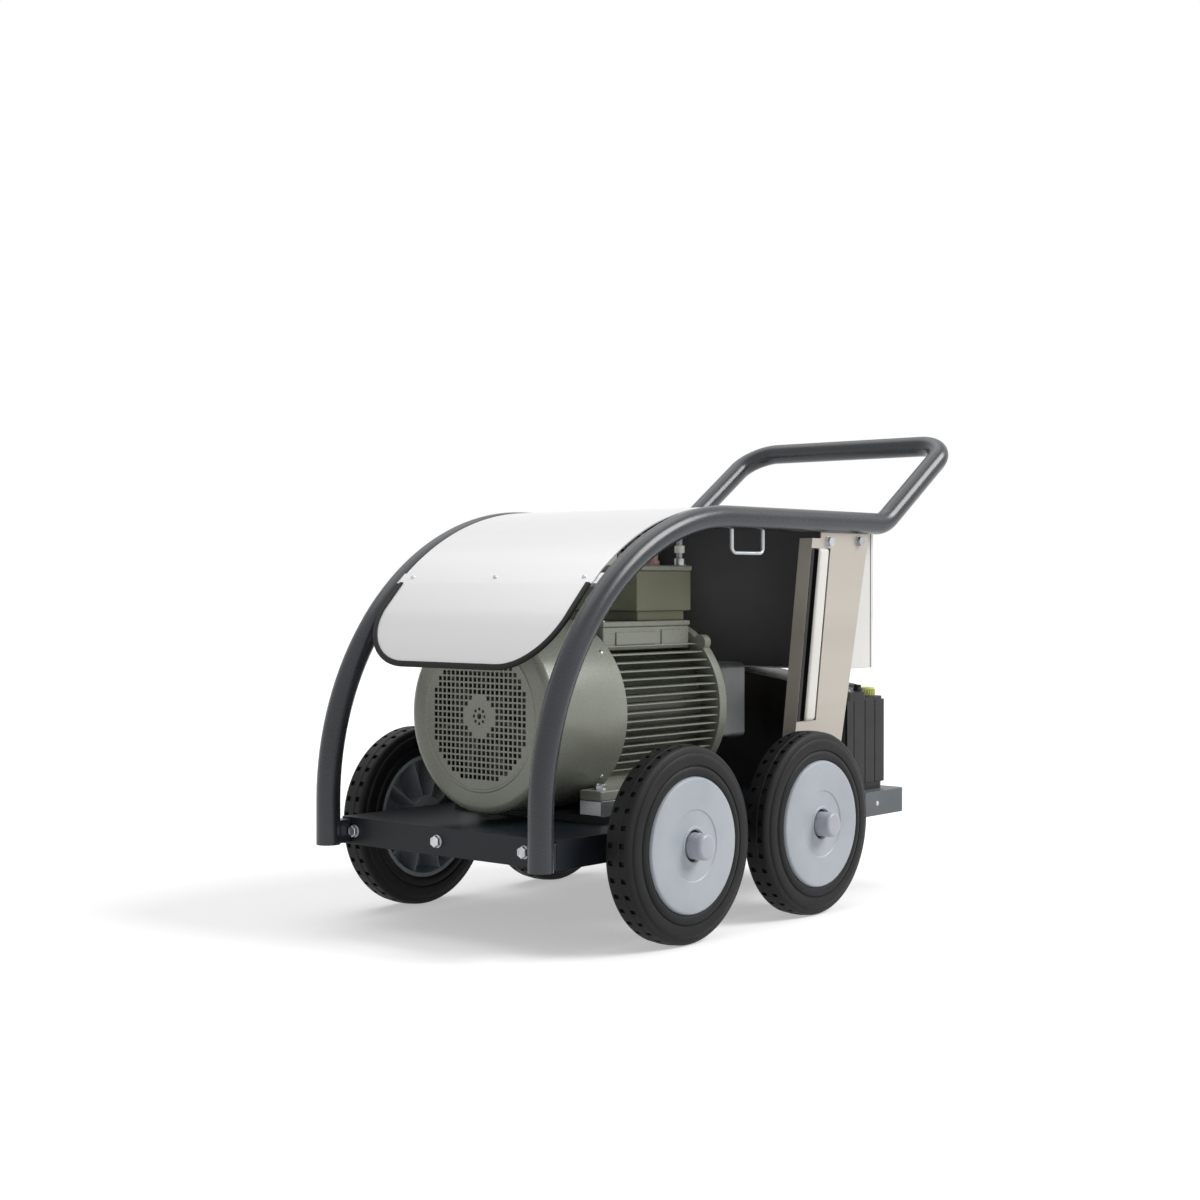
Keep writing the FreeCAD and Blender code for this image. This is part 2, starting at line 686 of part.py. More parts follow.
def fan_cowl():
    """Pressed sheet cowl with a rolled front rim and a square-hole air grille."""
    outer = rod(on_axis(COWL_X), X, COWL_RADIUS, COWL_LENGTH)
    outer = outer.makeFillet(COWL_RIM, [e for e in outer.Edges if abs(e.CenterOfMass.x - COWL_X) < 1e-3])
    inner = rod(on_axis(COWL_X + COWL_SHEET), X, COWL_RADIUS - COWL_SHEET, COWL_LENGTH)
    inner = inner.makeFillet(COWL_RIM - COWL_SHEET,
                             [e for e in inner.Edges if abs(e.CenterOfMass.x - COWL_X - COWL_SHEET) < 1e-3])
    cowl = outer.cut(inner)
    holes = []
    count = int(GRILLE_RADIUS // GRILLE_PITCH) + 1
    half = GRILLE_HOLE / 2
    for row in range(-count, count + 1):
        for column in range(-count, count + 1):
            y = column * GRILLE_PITCH
            z = row * GRILLE_PITCH
            if GRILLE_HUB + half < math.hypot(y, z) < GRILLE_RADIUS - half:
                holes.append(box((COWL_X - 1, COWL_X + COWL_SHEET + 1), (y - half, y + half),
                                 (MOTOR_AXIS_Z + z - half, MOTOR_AXIS_Z + z + half)))
    cowl = cowl.cut(Part.makeCompound(holes))
    for start, axis in cowl_screw_places():
        cowl = cowl.cut(rod(start - axis * COWL_SHEET, axis, SCREW_RADIUS, COWL_SHEET))
    return cowl


def cowl_screw_places():
    """Four screws round the cowl's rear edge."""
    places = []
    for degrees in (40, 140, 220, 320):
        angle = math.radians(degrees)
        out = Vector(0, math.cos(angle), math.sin(angle))
        places.append((on_axis(AX + COWL_SCREW_X) + out * COWL_RADIUS, out))
    return places


def cooling_fan():
    """Bidirectional plastic fan with straight radial blades."""
    start = COWL_X + COWL_SHEET + FAN_FRONT_GAP
    hub = rod(on_axis(start), X, FAN_HUB, FAN_WIDTH)
    back = rod(on_axis(start + FAN_WIDTH - FAN_BLADE_THICK), X, FAN_RADIUS, FAN_BLADE_THICK)
    fan = hub.fuse(back)
    for k in range(FAN_BLADES):
        blade = box((start, start + FAN_WIDTH), (-FAN_BLADE_THICK / 2, FAN_BLADE_THICK / 2),
                    (MOTOR_AXIS_Z + FAN_HUB / 2, MOTOR_AXIS_Z + FAN_RADIUS))
        blade.rotate(on_axis(0), X, 360.0 * k / FAN_BLADES)
        fan = fan.fuse(blade)
    return fan.cut(rod(on_axis(start), X, SHAFT_RADIUS, FAN_WIDTH)).removeSplitter()


def fan_shield():
    """Non-drive end shield inside the cowl, carrying its bearing."""
    start = HOUSING_X - SHIELD_THICK
    disc = rod(on_axis(start), X, COWL_RADIUS - COWL_SHEET, SHIELD_THICK)
    disc = disc.cut(rod(on_axis(start), X, BEARING_RADIUS, SHIELD_THICK))
    for place, axis in cowl_screw_places():
        disc = disc.cut(rod(place - axis * SCREW_SHANK, axis, SCREW_RADIUS, SCREW_SHANK))
    return disc


def stator_housing():
    """Cast barrel with level cooling fins on both sides, a box seat on top and foot rails."""
    core = rod(on_axis(HOUSING_X), X, HOUSING_RADIUS, HOUSING_LENGTH)
    fins = []
    for k in range(FIN_COUNT):
        z = (k - (FIN_COUNT - 1) / 2) * FIN_PITCH
        fins.append(box((HOUSING_X, HOUSING_END), (-FIN_TIP_RADIUS, FIN_TIP_RADIUS),
                        (MOTOR_AXIS_Z + z - FIN_THICK / 2, MOTOR_AXIS_Z + z + FIN_THICK / 2)))
    tips = rod(on_axis(HOUSING_X), X, FIN_TIP_RADIUS, HOUSING_LENGTH)
    body = core.fuse([fin.common(tips) for fin in fins])
    for side in (-1, 1):
        y = sorted((side * (FOOT_Y - FOOT_WIDTH), side * (FOOT_Y + FOOT_WIDTH / 2)))
        rail = box((COWL_END, HOUSING_END - FIN_PITCH), y, (FOOT_BASE_Z, FOOT_BASE_Z + FOOT_THICK))
        front = box((AX + FOOT_FRONT_X - SPACER_SIZE[0] / 2, COWL_END),
                    sorted((side * (FOOT_Y - FOOT_WIDTH / 2), side * (FOOT_Y + FOOT_WIDTH / 2))),
                    (FOOT_BASE_Z, FOOT_BASE_Z + FOOT_THICK))
        web = box((COWL_END, HOUSING_END - FIN_PITCH),
                  sorted((side * (FOOT_Y - FOOT_WIDTH), side * (FOOT_Y - FOOT_WIDTH + FOOT_THICK))),
                  (FOOT_BASE_Z, MOTOR_AXIS_Z))
        body = body.fuse([rail, front, web])
    body = body.cut(rod(on_axis(HOUSING_X), X, CORE_RADIUS, HOUSING_LENGTH))
    body = body.cut(terminal_outer())
    for x, y in foot_places():
        body = body.cut(bolt_hole(Vector(x, y, FOOT_BASE_Z), Z, FOOT_THICK))
    return body.removeSplitter()


def stator_core():
    """Laminated stator with its winding heads at both ends."""
    middle = (HOUSING_X + HOUSING_END) / 2
    bore = ROTOR_RADIUS + AIR_GAP
    stack = ring(on_axis(middle - CORE_LENGTH / 2), X, CORE_RADIUS, bore, CORE_LENGTH)
    heads = []
    for start in (middle - CORE_LENGTH / 2 - FOOT_THICK, middle + CORE_LENGTH / 2):
        heads.append(ring(on_axis(start), X, CORE_RADIUS - HOUSING_WALL, bore + HOUSING_WALL, FOOT_THICK))
    return stack.fuse(heads)


def rotor_core():
    middle = (HOUSING_X + HOUSING_END) / 2
    return ring(on_axis(middle - CORE_LENGTH / 2), X, ROTOR_RADIUS, SHAFT_RADIUS, CORE_LENGTH)


def motor_shaft():
    """Shaft from the fan hub to the coupling."""
    start = COWL_X + COWL_SHEET + FAN_FRONT_GAP
    return rod(on_axis(start), X, SHAFT_RADIUS, SHIELD_END + SHAFT_TO_COUPLING - start)


def bearing_starts():
    return (HOUSING_X - SHIELD_THICK, SHIELD_END - BEARING_WIDTH)


def motor_bearings():
    """The two shaft bearings, seated in the shields."""
    widths = (SHIELD_THICK, BEARING_WIDTH)
    return group([ring(on_axis(start), X, BEARING_RADIUS, SHAFT_RADIUS + RUNNING_FIT, width)
                  for start, width in zip(bearing_starts(), widths)])


def drive_shield():
    """Drive-end shield with a deep rim and four fixing ears."""
    disc = rod(on_axis(HOUSING_END), X, DRIVE_SHIELD_RADIUS, DRIVE_SHIELD_THICK)
    rim = [e for e in disc.Edges if abs(e.CenterOfMass.x - SHIELD_END) < 1e-3]
    disc = disc.makeFillet(DRIVE_SHIELD_THICK / 3, rim)
    for degrees in (45, 135, 225, 315):
        angle = math.radians(degrees)
        spot = on_axis(HOUSING_END, DRIVE_SHIELD_RADIUS * math.cos(angle),
                       DRIVE_SHIELD_RADIUS * math.sin(angle))
        disc = disc.fuse(rod(spot, X, SHIELD_EAR, DRIVE_SHIELD_THICK * 2 / 3))
    disc = disc.cut(rod(on_axis(HOUSING_END), X, BEARING_RADIUS, DRIVE_SHIELD_THICK))
    return disc.cut(terminal_outer())


def terminal_outer():
    low, high, half = TERMINAL
    return box((AX + low, AX + high), (-half, half), TERMINAL_Z)


def terminal_box():
    """Cast terminal box saddled on the barrel."""
    low, high, half = TERMINAL
    body = terminal_outer().cut(rod(on_axis(HOUSING_X), X, HOUSING_RADIUS, HOUSING_LENGTH))
    pocket = box((AX + low + BOX_WALL, AX + high - BOX_WALL), (BOX_WALL - half, half - BOX_WALL),
                 (MOTOR_AXIS_Z + HOUSING_RADIUS + BOX_WALL, TERMINAL_Z[1]))
    return body.cut(pocket)


def junction_base():
    return TERMINAL_Z[1] + LID_THICK


def junction_box():
    """Cable junction box on a short neck above the terminal box."""
    base = junction_base()
    neck = box((AX + NECK[0], AX + NECK[1]), (-NECK[2], NECK[2]), (base, base + NECK_HEIGHT))
    floor = base + NECK_HEIGHT
    body = box((AX + JUNCTION[0], AX + JUNCTION[1]), (-JUNCTION[2], JUNCTION[2]),
               (floor, floor + JUNCTION_HEIGHT))
    pocket = box((AX + JUNCTION[0] + BOX_WALL, AX + JUNCTION[1] - BOX_WALL),
                 (BOX_WALL - JUNCTION[2], JUNCTION[2] - BOX_WALL),
                 (floor + BOX_WALL, floor + JUNCTION_HEIGHT))
    return neck.fuse(body).cut(pocket).removeSplitter()


def junction_lid_z():
    return junction_base() + NECK_HEIGHT + JUNCTION_HEIGHT


def box_lids():
    """Lids of the terminal box and of the junction box."""
    lids = []
    for (low, high, half), z in ((TERMINAL, TERMINAL_Z[1]), (JUNCTION, junction_lid_z())):
        lids.append(box((AX + low - LID_OVERHANG, AX + high + LID_OVERHANG),
                        (-half - LID_OVERHANG, half + LID_OVERHANG), (z, z + LID_THICK)))
    return group(lids)


def conduit():
    """Rigid motor cable conduit from the junction box to the cabinet."""
    x = AX + CONDUIT_X
    start = Vector(x, CONDUIT_Y, junction_lid_z() + LID_THICK)
    corner = Vector(x, CONDUIT_Y, CONDUIT_Z)
    end = Vector(CABINET_X, CONDUIT_Y, CONDUIT_Z)
    return pipe(bent_path([start, corner, end], [CONDUIT_BEND]), CONDUIT_RADIUS)


# ---------------------------------------------------------------- pump

def bell_housing():
    """Cast lantern between the motor and the pump."""
    body = rod(on_axis(SHIELD_END), X, BELL_RADIUS, BELL_LENGTH)
    body = body.fuse(rod(on_axis(SHIELD_END), X, BELL_FLANGE, BELL_FLANGE_THICK))
    body = body.cut(rod(on_axis(SHIELD_END), X, BELL_BORE, BELL_LENGTH))
    return body


def shaft_coupling():
    """Two hubs and an elastic spider between them."""
    start = SHIELD_END + SHAFT_TO_COUPLING - COUPLING_HUB_LENGTH
    hub = ring(on_axis(start), X, COUPLING_RADIUS, SHAFT_RADIUS, COUPLING_HUB_LENGTH)
    spider = rod(on_axis(start + COUPLING_HUB_LENGTH), X, COUPLING_RADIUS, SPIDER_LENGTH)
    pump_side = ring(on_axis(start + COUPLING_HUB_LENGTH + SPIDER_LENGTH), X,
                     COUPLING_RADIUS, CRANK_RADIUS, COUPLING_HUB_LENGTH)
    return group([hub, spider, pump_side])


def crank_start():
    return SHIELD_END + SHAFT_TO_COUPLING + SPIDER_LENGTH


def plunger_places():
    return [HEAD_MID_X + k * PLUNGER_PITCH for k in (-1, 0, 1)]


def crankshaft():
    """Pump crankshaft with three eccentrics a third of a turn apart."""
    shaft = rod(on_axis(crank_start()), X, CRANK_RADIUS, CRANKCASE_END - CRANKCASE_WALL / 2 - crank_start())
    for k, x in enumerate(plunger_places()):
        angle = math.radians(120 * k)
        spot = on_axis(x - ECCENTRIC_WIDTH / 2, CRANK_THROW * math.cos(angle), CRANK_THROW * math.sin(angle))
        shaft = shaft.fuse(rod(spot, X, ECCENTRIC_RADIUS, ECCENTRIC_WIDTH))
    return shaft.removeSplitter()


def pump_crankcase():
    """Aluminium crankcase with its shaft bores and plunger openings."""
    low = MOTOR_AXIS_Z - CRANKCASE_HALF_HEIGHT
    high = MOTOR_AXIS_Z + CRANKCASE_HALF_HEIGHT
    body = box((BELL_END, CRANKCASE_END), CRANKCASE_Y, (low, high))
    edges = [e for e in body.Edges if abs(e.tangentAt(0).x) > 0.9]
    body = body.makeFillet(CRANKCASE_WALL, edges)
    body = body.cut(box((BELL_END + CRANKCASE_WALL, CRANKCASE_END - CRANKCASE_WALL),
                        (CRANKCASE_Y[0] + CRANKCASE_WALL, CRANKCASE_Y[1] - CRANKCASE_WALL),
                        (low + CRANKCASE_WALL, high - CRANKCASE_WALL)))
    bore = CRANK_RADIUS + RUNNING_FIT
    body = body.cut(rod(on_axis(BELL_END), X, bore, CRANKCASE_LENGTH - CRANKCASE_WALL / 2))
    for x in plunger_places():
        body = body.cut(rod(on_axis(x), Y, PLUNGER_RADIUS + RUNNING_FIT, CRANKCASE_Y[1]))
    return body


def pump_plungers():
    """Three ceramic plungers."""
    return group([rod(on_axis(x, PLUNGER_START_Y), Y, PLUNGER_RADIUS, PLUNGER_END_Y - PLUNGER_START_Y)
                  for x in plunger_places()])


def pump_head():
    """Brass head with plunger bores, six valve caps and the hose ports."""
    head = box((HEAD_X, HEAD_X + HEAD_LENGTH), (HEAD_Y, HEAD_Y + HEAD_DEPTH),
               (MOTOR_AXIS_Z - HEAD_HALF_HEIGHT, MOTOR_AXIS_Z + HEAD_HALF_HEIGHT))
    for x in plunger_places():
        head = head.cut(rod(on_axis(x, HEAD_Y), Y, PLUNGER_RADIUS + RUNNING_FIT, HEAD_DEPTH - CRANKCASE_WALL))
        for side in (-1, 1):
            cap_y = HEAD_Y + HEAD_DEPTH - 2 * VALVE_CAP_RADIUS
            if side > 0 and x == HEAD_MID_X:
                continue
            head = head.fuse(rod(on_axis(x, cap_y, side * HEAD_HALF_HEIGHT), Z * side,
                                 VALVE_CAP_RADIUS, VALVE_CAP_HEIGHT))
    return head


def unloader_spot():
    return on_axis(HEAD_MID_X, HEAD_Y + HEAD_DEPTH - 2 * VALVE_CAP_RADIUS, HEAD_HALF_HEIGHT)


def unloader_valve():
    """Bypass valve body on the head, bored for the knob's stem."""
    body = rod(unloader_spot(), Z, UNLOADER_RADIUS, UNLOADER_HEIGHT)
    bore = rod(unloader_spot() + Z * (UNLOADER_HEIGHT / 2), Z, STEM_RADIUS + RUNNING_FIT, UNLOADER_HEIGHT / 2)
    return body.cut(bore)


def regulator_knob():
    """Pressure knob and its stem."""
    top = unloader_spot() + Z * (UNLOADER_HEIGHT + FACE_GAP)
    knob = rod(top, Z, KNOB_RADIUS, KNOB_HEIGHT)
    rim = [e for e in knob.Edges if abs(e.CenterOfMass.z - top.z - KNOB_HEIGHT) < 1e-3]
    knob = knob.makeChamfer(BOX_WALL / 2, rim)
    for k in range(6):
        angle = math.radians(60 * k)
        spot = top + Vector(math.cos(angle), math.sin(angle), 0) * KNOB_RADIUS
        knob = knob.cut(rod(spot, Z, BOX_WALL, KNOB_HEIGHT))
    return knob.fuse(rod(top - Z * (UNLOADER_HEIGHT / 3), Z, STEM_RADIUS, UNLOADER_HEIGHT / 3))


def suction_hose():
    """Rubber hose from the tank to the pump head."""
    head_end = HEAD_X + HEAD_LENGTH
    x_mid = (TANK_FRONT + head_end) / 2
    points = [Vector(TANK_FRONT, SUCTION_Y, SUCTION_Z), Vector(x_mid, SUCTION_Y, SUCTION_Z),
              Vector(x_mid, SUCTION_Y, MOTOR_AXIS_Z), Vector(head_end, SUCTION_Y, MOTOR_AXIS_Z)]
    bend = min(HOSE_BEND, TANK_FRONT - x_mid - FACE_GAP)
    return pipe(bent_path(points, [bend, bend]), HOSE_RADIUS)


def pressure_pipe():
    """Steel pressure pipe from the head, past the tank, to the outlet."""
    start = on_axis(HEAD_MID_X, HEAD_Y + HEAD_DEPTH)
    side = on_axis(HEAD_MID_X, PIPE_Y)
    foot = Vector(HEAD_MID_X, PIPE_Y, PIPE_Z)
    end = Vector(outlet_x(), PIPE_Y, PIPE_Z)
    return pipe(bent_path([start, side, foot, end], [PIPE_BEND, PIPE_BEND]), PIPE_RADIUS)


def outlet_coupler():
    """High-pressure outlet spigot on the rear tray's tab."""
    start = Vector(outlet_x(), PIPE_Y, PIPE_Z)
    body = rod(start, X, OUTLET_RADIUS, OUTLET_LENGTH)
    nut = hex_prism(start, X, 2 * OUTLET_RADIUS + BOX_WALL, OUTLET_LENGTH / 3)
    return body.fuse(nut).cut(rod(start, X, OUTLET_BORE, OUTLET_LENGTH)).removeSplitter()


# ---------------------------------------------------------------- tank

def tank_outline(inset):
    """The tank's section across the machine: low on the right, level from the slope's end."""
    right = -TANK_HALF_WIDTH + inset
    left = TANK_HALF_WIDTH - inset
    return [
        (right, DECK_Z + inset),
        (left, DECK_Z + inset),
        (left, TANK_HIGH_Z - inset),
        (TANK_SLOPE_END_Y, TANK_HIGH_Z - inset),
        (right, TANK_LOW_Z - inset),
    ]


def tank_block(inset):
    points = [Vector(TANK_FRONT + inset, y, z) for y, z in tank_outline(inset)]
    length = TANK_LENGTH - 2 * inset
    block = Part.Face(Part.makePolygon(points + points[:1])).extrude(Vector(length, 0, 0))
    block = block.cut(box((TANK_FRONT + RECESS[0] - inset, TANK_END),
                          (-TANK_HALF_WIDTH, RECESS[1] - TANK_HALF_WIDTH + inset),
                          (RECESS[2] - inset, TANK_HIGH_Z)))
    upright = [e for e in block.Edges
               if abs(e.tangentAt(e.FirstParameter).z) > 0.9
               and abs(abs(e.CenterOfMass.y) - TANK_HALF_WIDTH + inset) < 1]
    return block.makeFillet(TANK_CORNER - inset, upright)


def water_tank():
    """Rotomoulded break tank with its filler neck."""
    x, y = TANK_FRONT + CAP_CENTRE[0], CAP_CENTRE[1] - TANK_HALF_WIDTH
    tank = tank_block(0).cut(tank_block(TANK_WALL))
    tank = tank.fuse(rod(Vector(x, y, RECESS[2]), Z, NECK_RADIUS, NECK_RISE))
    drop = TANK_WALL + 1
    return tank.cut(rod(Vector(x, y, RECESS[2] - drop), Z, NECK_BORE, NECK_RISE + drop))


def tank_cap():
    """Screw cap over the filler neck."""
    x, y = TANK_FRONT + CAP_CENTRE[0], CAP_CENTRE[1] - TANK_HALF_WIDTH
    base = RECESS[2] + FACE_GAP
    cap = rod(Vector(x, y, base), Z, TANK_CAP_RADIUS, TANK_CAP_HEIGHT + NECK_RISE)
    return cap.cut(rod(Vector(x, y, base), Z, NECK_RADIUS + RUNNING_FIT, NECK_RISE))


def water_inlet():
    """Threaded water inlet on the tank's rear wall."""
    start = Vector(TANK_END, INLET_Y, INLET_Z)
    body = rod(start, X, INLET_RADIUS, INLET_LENGTH)
    flange = hex_prism(start, X, 2 * INLET_RADIUS + 2 * BOX_WALL, BOX_WALL)
    return body.fuse(flange).cut(rod(start, X, INLET_BORE, INLET_LENGTH)).removeSplitter()


# ---------------------------------------------------------------- cabinet

def cabinet_body():
    """Sheet-steel cabinet, open at the back behind a returned lip."""
    outer = box((CABINET_X, CABINET_END), (-CABINET_HALF_WIDTH, CABINET_HALF_WIDTH),
                (CABINET_BOTTOM, CABINET_TOP))
    s = CABINET_SHEET
    inner = box((CABINET_X + s, CABINET_END - s), (s - CABINET_HALF_WIDTH, CABINET_HALF_WIDTH - s),
                (CABINET_BOTTOM + s, CABINET_TOP - s))
    mouth = box((CABINET_END - s, CABINET_END),
                (CABINET_LIP - CABINET_HALF_WIDTH, CABINET_HALF_WIDTH - CABINET_LIP),
                (CABINET_BOTTOM + CABINET_LIP, CABINET_TOP - CABINET_LIP))
    return outer.cut([inner, mouth])


def door_gasket():
    """Rubber seal between the lip and the door."""
    x = (CABINET_END, DOOR_X)
    outer = box(x, (-CABINET_HALF_WIDTH, CABINET_HALF_WIDTH), (CABINET_BOTTOM, CABINET_TOP))
    lip = CABINET_LIP - CABINET_SHEET
    return outer.cut(box(x, (lip - CABINET_HALF_WIDTH, CABINET_HALF_WIDTH - lip),
                         (CABINET_BOTTOM + lip, CABINET_TOP - lip)))


def knuckle(z, length, bore):
    return ring(Vector(HINGE_X, HINGE_Y, z), Z, KNUCKLE_RADIUS, bore, length)


def cabinet_door():
    """Door pan with its hinge knuckles and the button bezels."""
    half = CABINET_HALF_WIDTH
    pan = box((DOOR_X + FACE_GAP, DOOR_FACE_X), (-half, half), (CABINET_BOTTOM, DOOR_TOP))
    pan = pan.cut(box((DOOR_X, DOOR_FACE_X - DOOR_SKIN), (CABINET_LIP - half, half - CABINET_LIP),
                      (CABINET_BOTTOM + CABINET_LIP, CABINET_TOP - CABINET_LIP)))
    for z in HINGE_Z:
        web = box((HINGE_X - DOOR_SKIN, HINGE_X + DOOR_SKIN), (half, HINGE_Y), (z, z + KNUCKLE_LENGTH))
        barrel = rod(Vector(HINGE_X, HINGE_Y, z), Z, KNUCKLE_RADIUS, KNUCKLE_LENGTH)
        pan = pan.fuse([web, barrel])
        pan = pan.cut(rod(Vector(HINGE_X, HINGE_Y, z), Z, PIN_RADIUS + RUNNING_FIT, KNUCKLE_LENGTH))
    for y in BUTTON_Y:
        start = Vector(DOOR_FACE_X, y, CONTROL_Z)
        pan = pan.fuse(rod(start, X, BUTTON_RADIUS + BEZEL_WALL, BEZEL_WALL))
        pan = pan.cut(rod(start - X * DOOR_SKIN, X, BUTTON_RADIUS + FACE_GAP, DOOR_SKIN + BEZEL_WALL))
    for y, z in ((SWITCH_Y, CONTROL_Z), (LATCH_INSET - CABINET_HALF_WIDTH, LATCH_Z)):
        pan = pan.cut(rod(Vector(DOOR_X, y, z), X, STEM_RADIUS + RUNNING_FIT, DOOR_THICK))
    return pan


def door_hinges():
    """Fixed hinge halves: leaf, two knuckles and the pin of each hinge."""
    hinges = []
    for z in HINGE_Z:
        low = z - FACE_GAP - KNUCKLE_LENGTH
        high = z + KNUCKLE_LENGTH + FACE_GAP
        pin = rod(Vector(HINGE_X, HINGE_Y, low), Z, PIN_RADIUS, high + KNUCKLE_LENGTH - low)
        for start in (low, high):
            barrel = rod(Vector(HINGE_X, HINGE_Y, start), Z, KNUCKLE_RADIUS, KNUCKLE_LENGTH)
            arm = box((CABINET_END - CABINET_LIP, HINGE_X),
                      (CABINET_HALF_WIDTH + FACE_GAP, HINGE_Y - PIN_RADIUS),
                      (start, start + KNUCKLE_LENGTH))
            seat = box((CABINET_END - CABINET_LIP, CABINET_END), (CABINET_HALF_WIDTH, HINGE_Y - PIN_RADIUS),
                       (start, start + KNUCKLE_LENGTH))
            pin = pin.fuse([barrel, arm, seat])
        hinges.append(pin.removeSplitter())
    return group(hinges)


def main_switch():
    """Rotary main switch knob with a grip bar and its spindle."""
    start = Vector(DOOR_FACE_X + FACE_GAP, SWITCH_Y, CONTROL_Z)
    base = rod(start, X, SWITCH_RADIUS, SWITCH_HEIGHT / 2)
    grip = box((start.x, start.x + SWITCH_HEIGHT), (SWITCH_Y - BEZEL_WALL, SWITCH_Y + BEZEL_WALL),
               (CONTROL_Z - SWITCH_RADIUS + 1, CONTROL_Z + SWITCH_RADIUS - 1))
    spindle = rod(start - X * (DOOR_THICK + FACE_GAP), X, STEM_RADIUS, DOOR_THICK + FACE_GAP)
    return base.fuse([grip, spindle]).removeSplitter()


def push_button(y):
    """A push button standing in its bezel, with its travel free behind it."""
    start = Vector(DOOR_FACE_X - DOOR_SKIN + BUTTON_TRAVEL, y, CONTROL_Z)
    button = rod(start, X, BUTTON_RADIUS, BUTTON_HEIGHT)
    return button.makeChamfer(FACE_GAP * 2, [e for e in button.Edges
                                             if abs(e.CenterOfMass.x - start.x - BUTTON_HEIGHT) < 1e-3])


def door_latch():
    """Quarter-turn lock, unlocked: outer knob, spindle and a cam that turns behind the lip."""
    y = LATCH_INSET - CABINET_HALF_WIDTH
    start = Vector(DOOR_FACE_X + FACE_GAP, y, LATCH_Z)
    knob = rod(start, X, LATCH_RADIUS, BEZEL_WALL)
    wing = box((start.x, start.x + 3 * BEZEL_WALL), (y - DOOR_SKIN, y + DOOR_SKIN),
               (LATCH_Z - LATCH_RADIUS + 1, LATCH_Z + LATCH_RADIUS - 1))
    cam_x = CABINET_END - CABINET_SHEET - FACE_GAP - BEZEL_WALL
    spindle = rod(Vector(cam_x, y, LATCH_Z), X, STEM_RADIUS, start.x - cam_x)
    cam = box((cam_x, cam_x + BEZEL_WALL), (y - STEM_RADIUS, y + STEM_RADIUS),
              (LATCH_Z - STEM_RADIUS, LATCH_Z + 2 * CABINET_LIP - CABINET_SHEET))
    return knob.fuse([wing, spindle, cam]).removeSplitter()


def control_gear():
    """Mounting plate with the contactors, the overload relay and the terminal row."""
    back = CABINET_X + CABINET_SHEET + PLATE_GAP
    margin = 2 * CABINET_LIP
    plate_box = box((back, back + CABINET_SHEET), (margin - CABINET_HALF_WIDTH, CABINET_HALF_WIDTH - margin),
                    (CABINET_BOTTOM + margin, CABINET_TOP - margin))
    feet = []
    for y in (margin - CABINET_HALF_WIDTH, CABINET_HALF_WIDTH - 2 * margin):
        feet.append(box((CABINET_X + CABINET_SHEET, back), (y, y + margin),
                        (CABINET_BOTTOM + margin, CABINET_BOTTOM + 2 * margin)))
    face = back + CABINET_SHEET
    gear = [plate_box] + feet
    for k in range(3):
        y = -120.0 + 60 * k
        gear.append(box((face, face + 62), (y, y + 46), (CONTROL_Z - 40, CONTROL_Z + 42)))
    gear.append(box((face, face + 40), (60, 120), (CONTROL_Z - 40, CONTROL_Z + 42)))
    gear.append(box((face, face + 32), (-130, 130),
                    (CABINET_BOTTOM + 2 * margin, CABINET_BOTTOM + 3 * margin)))
    return group(gear)


# ---------------------------------------------------------------- uprights and small things

def upright_slope(z, foot_x, top_x, top_z):
    return AX + foot_x + (top_x - foot_x) * (z - DECK_Z) / (top_z - DECK_Z)


def fold_x(z):
    """The front fold line of an upright at a height."""
    return upright_slope(z, UPRIGHT_LEFT[0], UPRIGHT_LEFT[1], UPRIGHT_SHOULDER_Z)


def slanted_bar(offset, width, z_range, y_low, y_high):
    """A bar parallel to the upright's fold."""
    low, high = z_range
    points = [(fold_x(low) + offset, low), (fold_x(low) + offset + width, low),
              (fold_x(high) + offset + width, high), (fold_x(high) + offset, high)]
    return plate(points, y_low, y_high)


def upright():
    """Folded stainless upright of the right-hand side, with spacers to the cabinet."""
    outer = -TUBE_Y - UPRIGHT_SHEET / 2
    inner = outer + UPRIGHT_SHEET
    top = RAIL_Z
    side = plate([(AX + UPRIGHT_LEFT[0], DECK_Z), (AX + UPRIGHT_RIGHT_FOOT, DECK_Z),
                  (AX + UPRIGHT_TAB[1], top),
                  (AX + UPRIGHT_TAB[0], top), (AX + UPRIGHT_TAB[0], UPRIGHT_SHOULDER_Z),
                  (AX + UPRIGHT_LEFT[1], UPRIGHT_SHOULDER_Z)], outer, inner)
    flange = slanted_bar(0, UPRIGHT_SHEET, (DECK_Z, UPRIGHT_SHOULDER_Z), outer, outer + UPRIGHT_FLANGE)
    side = side.fuse(flange)
    side = side.cut(slanted_bar(SLOT_OFFSET, SLOT_WIDTH, SLOT_Z, outer, inner))
    for x, z in UPRIGHT_BOLTS:
        side = side.cut(bolt_hole(Vector(AX + x, outer, z), Y, UPRIGHT_SHEET))
    for x, z in SPACER_TUBES:
        side = side.fuse(ring(Vector(AX + x, inner, z), Y, SPACER_TUBE_RADIUS, BOLT_RADIUS,
                              -CABINET_HALF_WIDTH - inner))
    tube = pipe(side_path(0), TUBE_RADIUS).fuse(pipe(handle_path(), TUBE_RADIUS))
    return max(side.cut(tube).Solids, key=lambda s: s.Volume)


def cable_duct():
    """Plastic cable duct clipped in the upright's slot."""
    low, high = SLOT_Z
    return slanted_bar(DUCT_OFFSET, DUCT_WIDTH, (low, high), -TUBE_Y - DUCT_PROUD, DUCT_BEHIND - TUBE_Y)


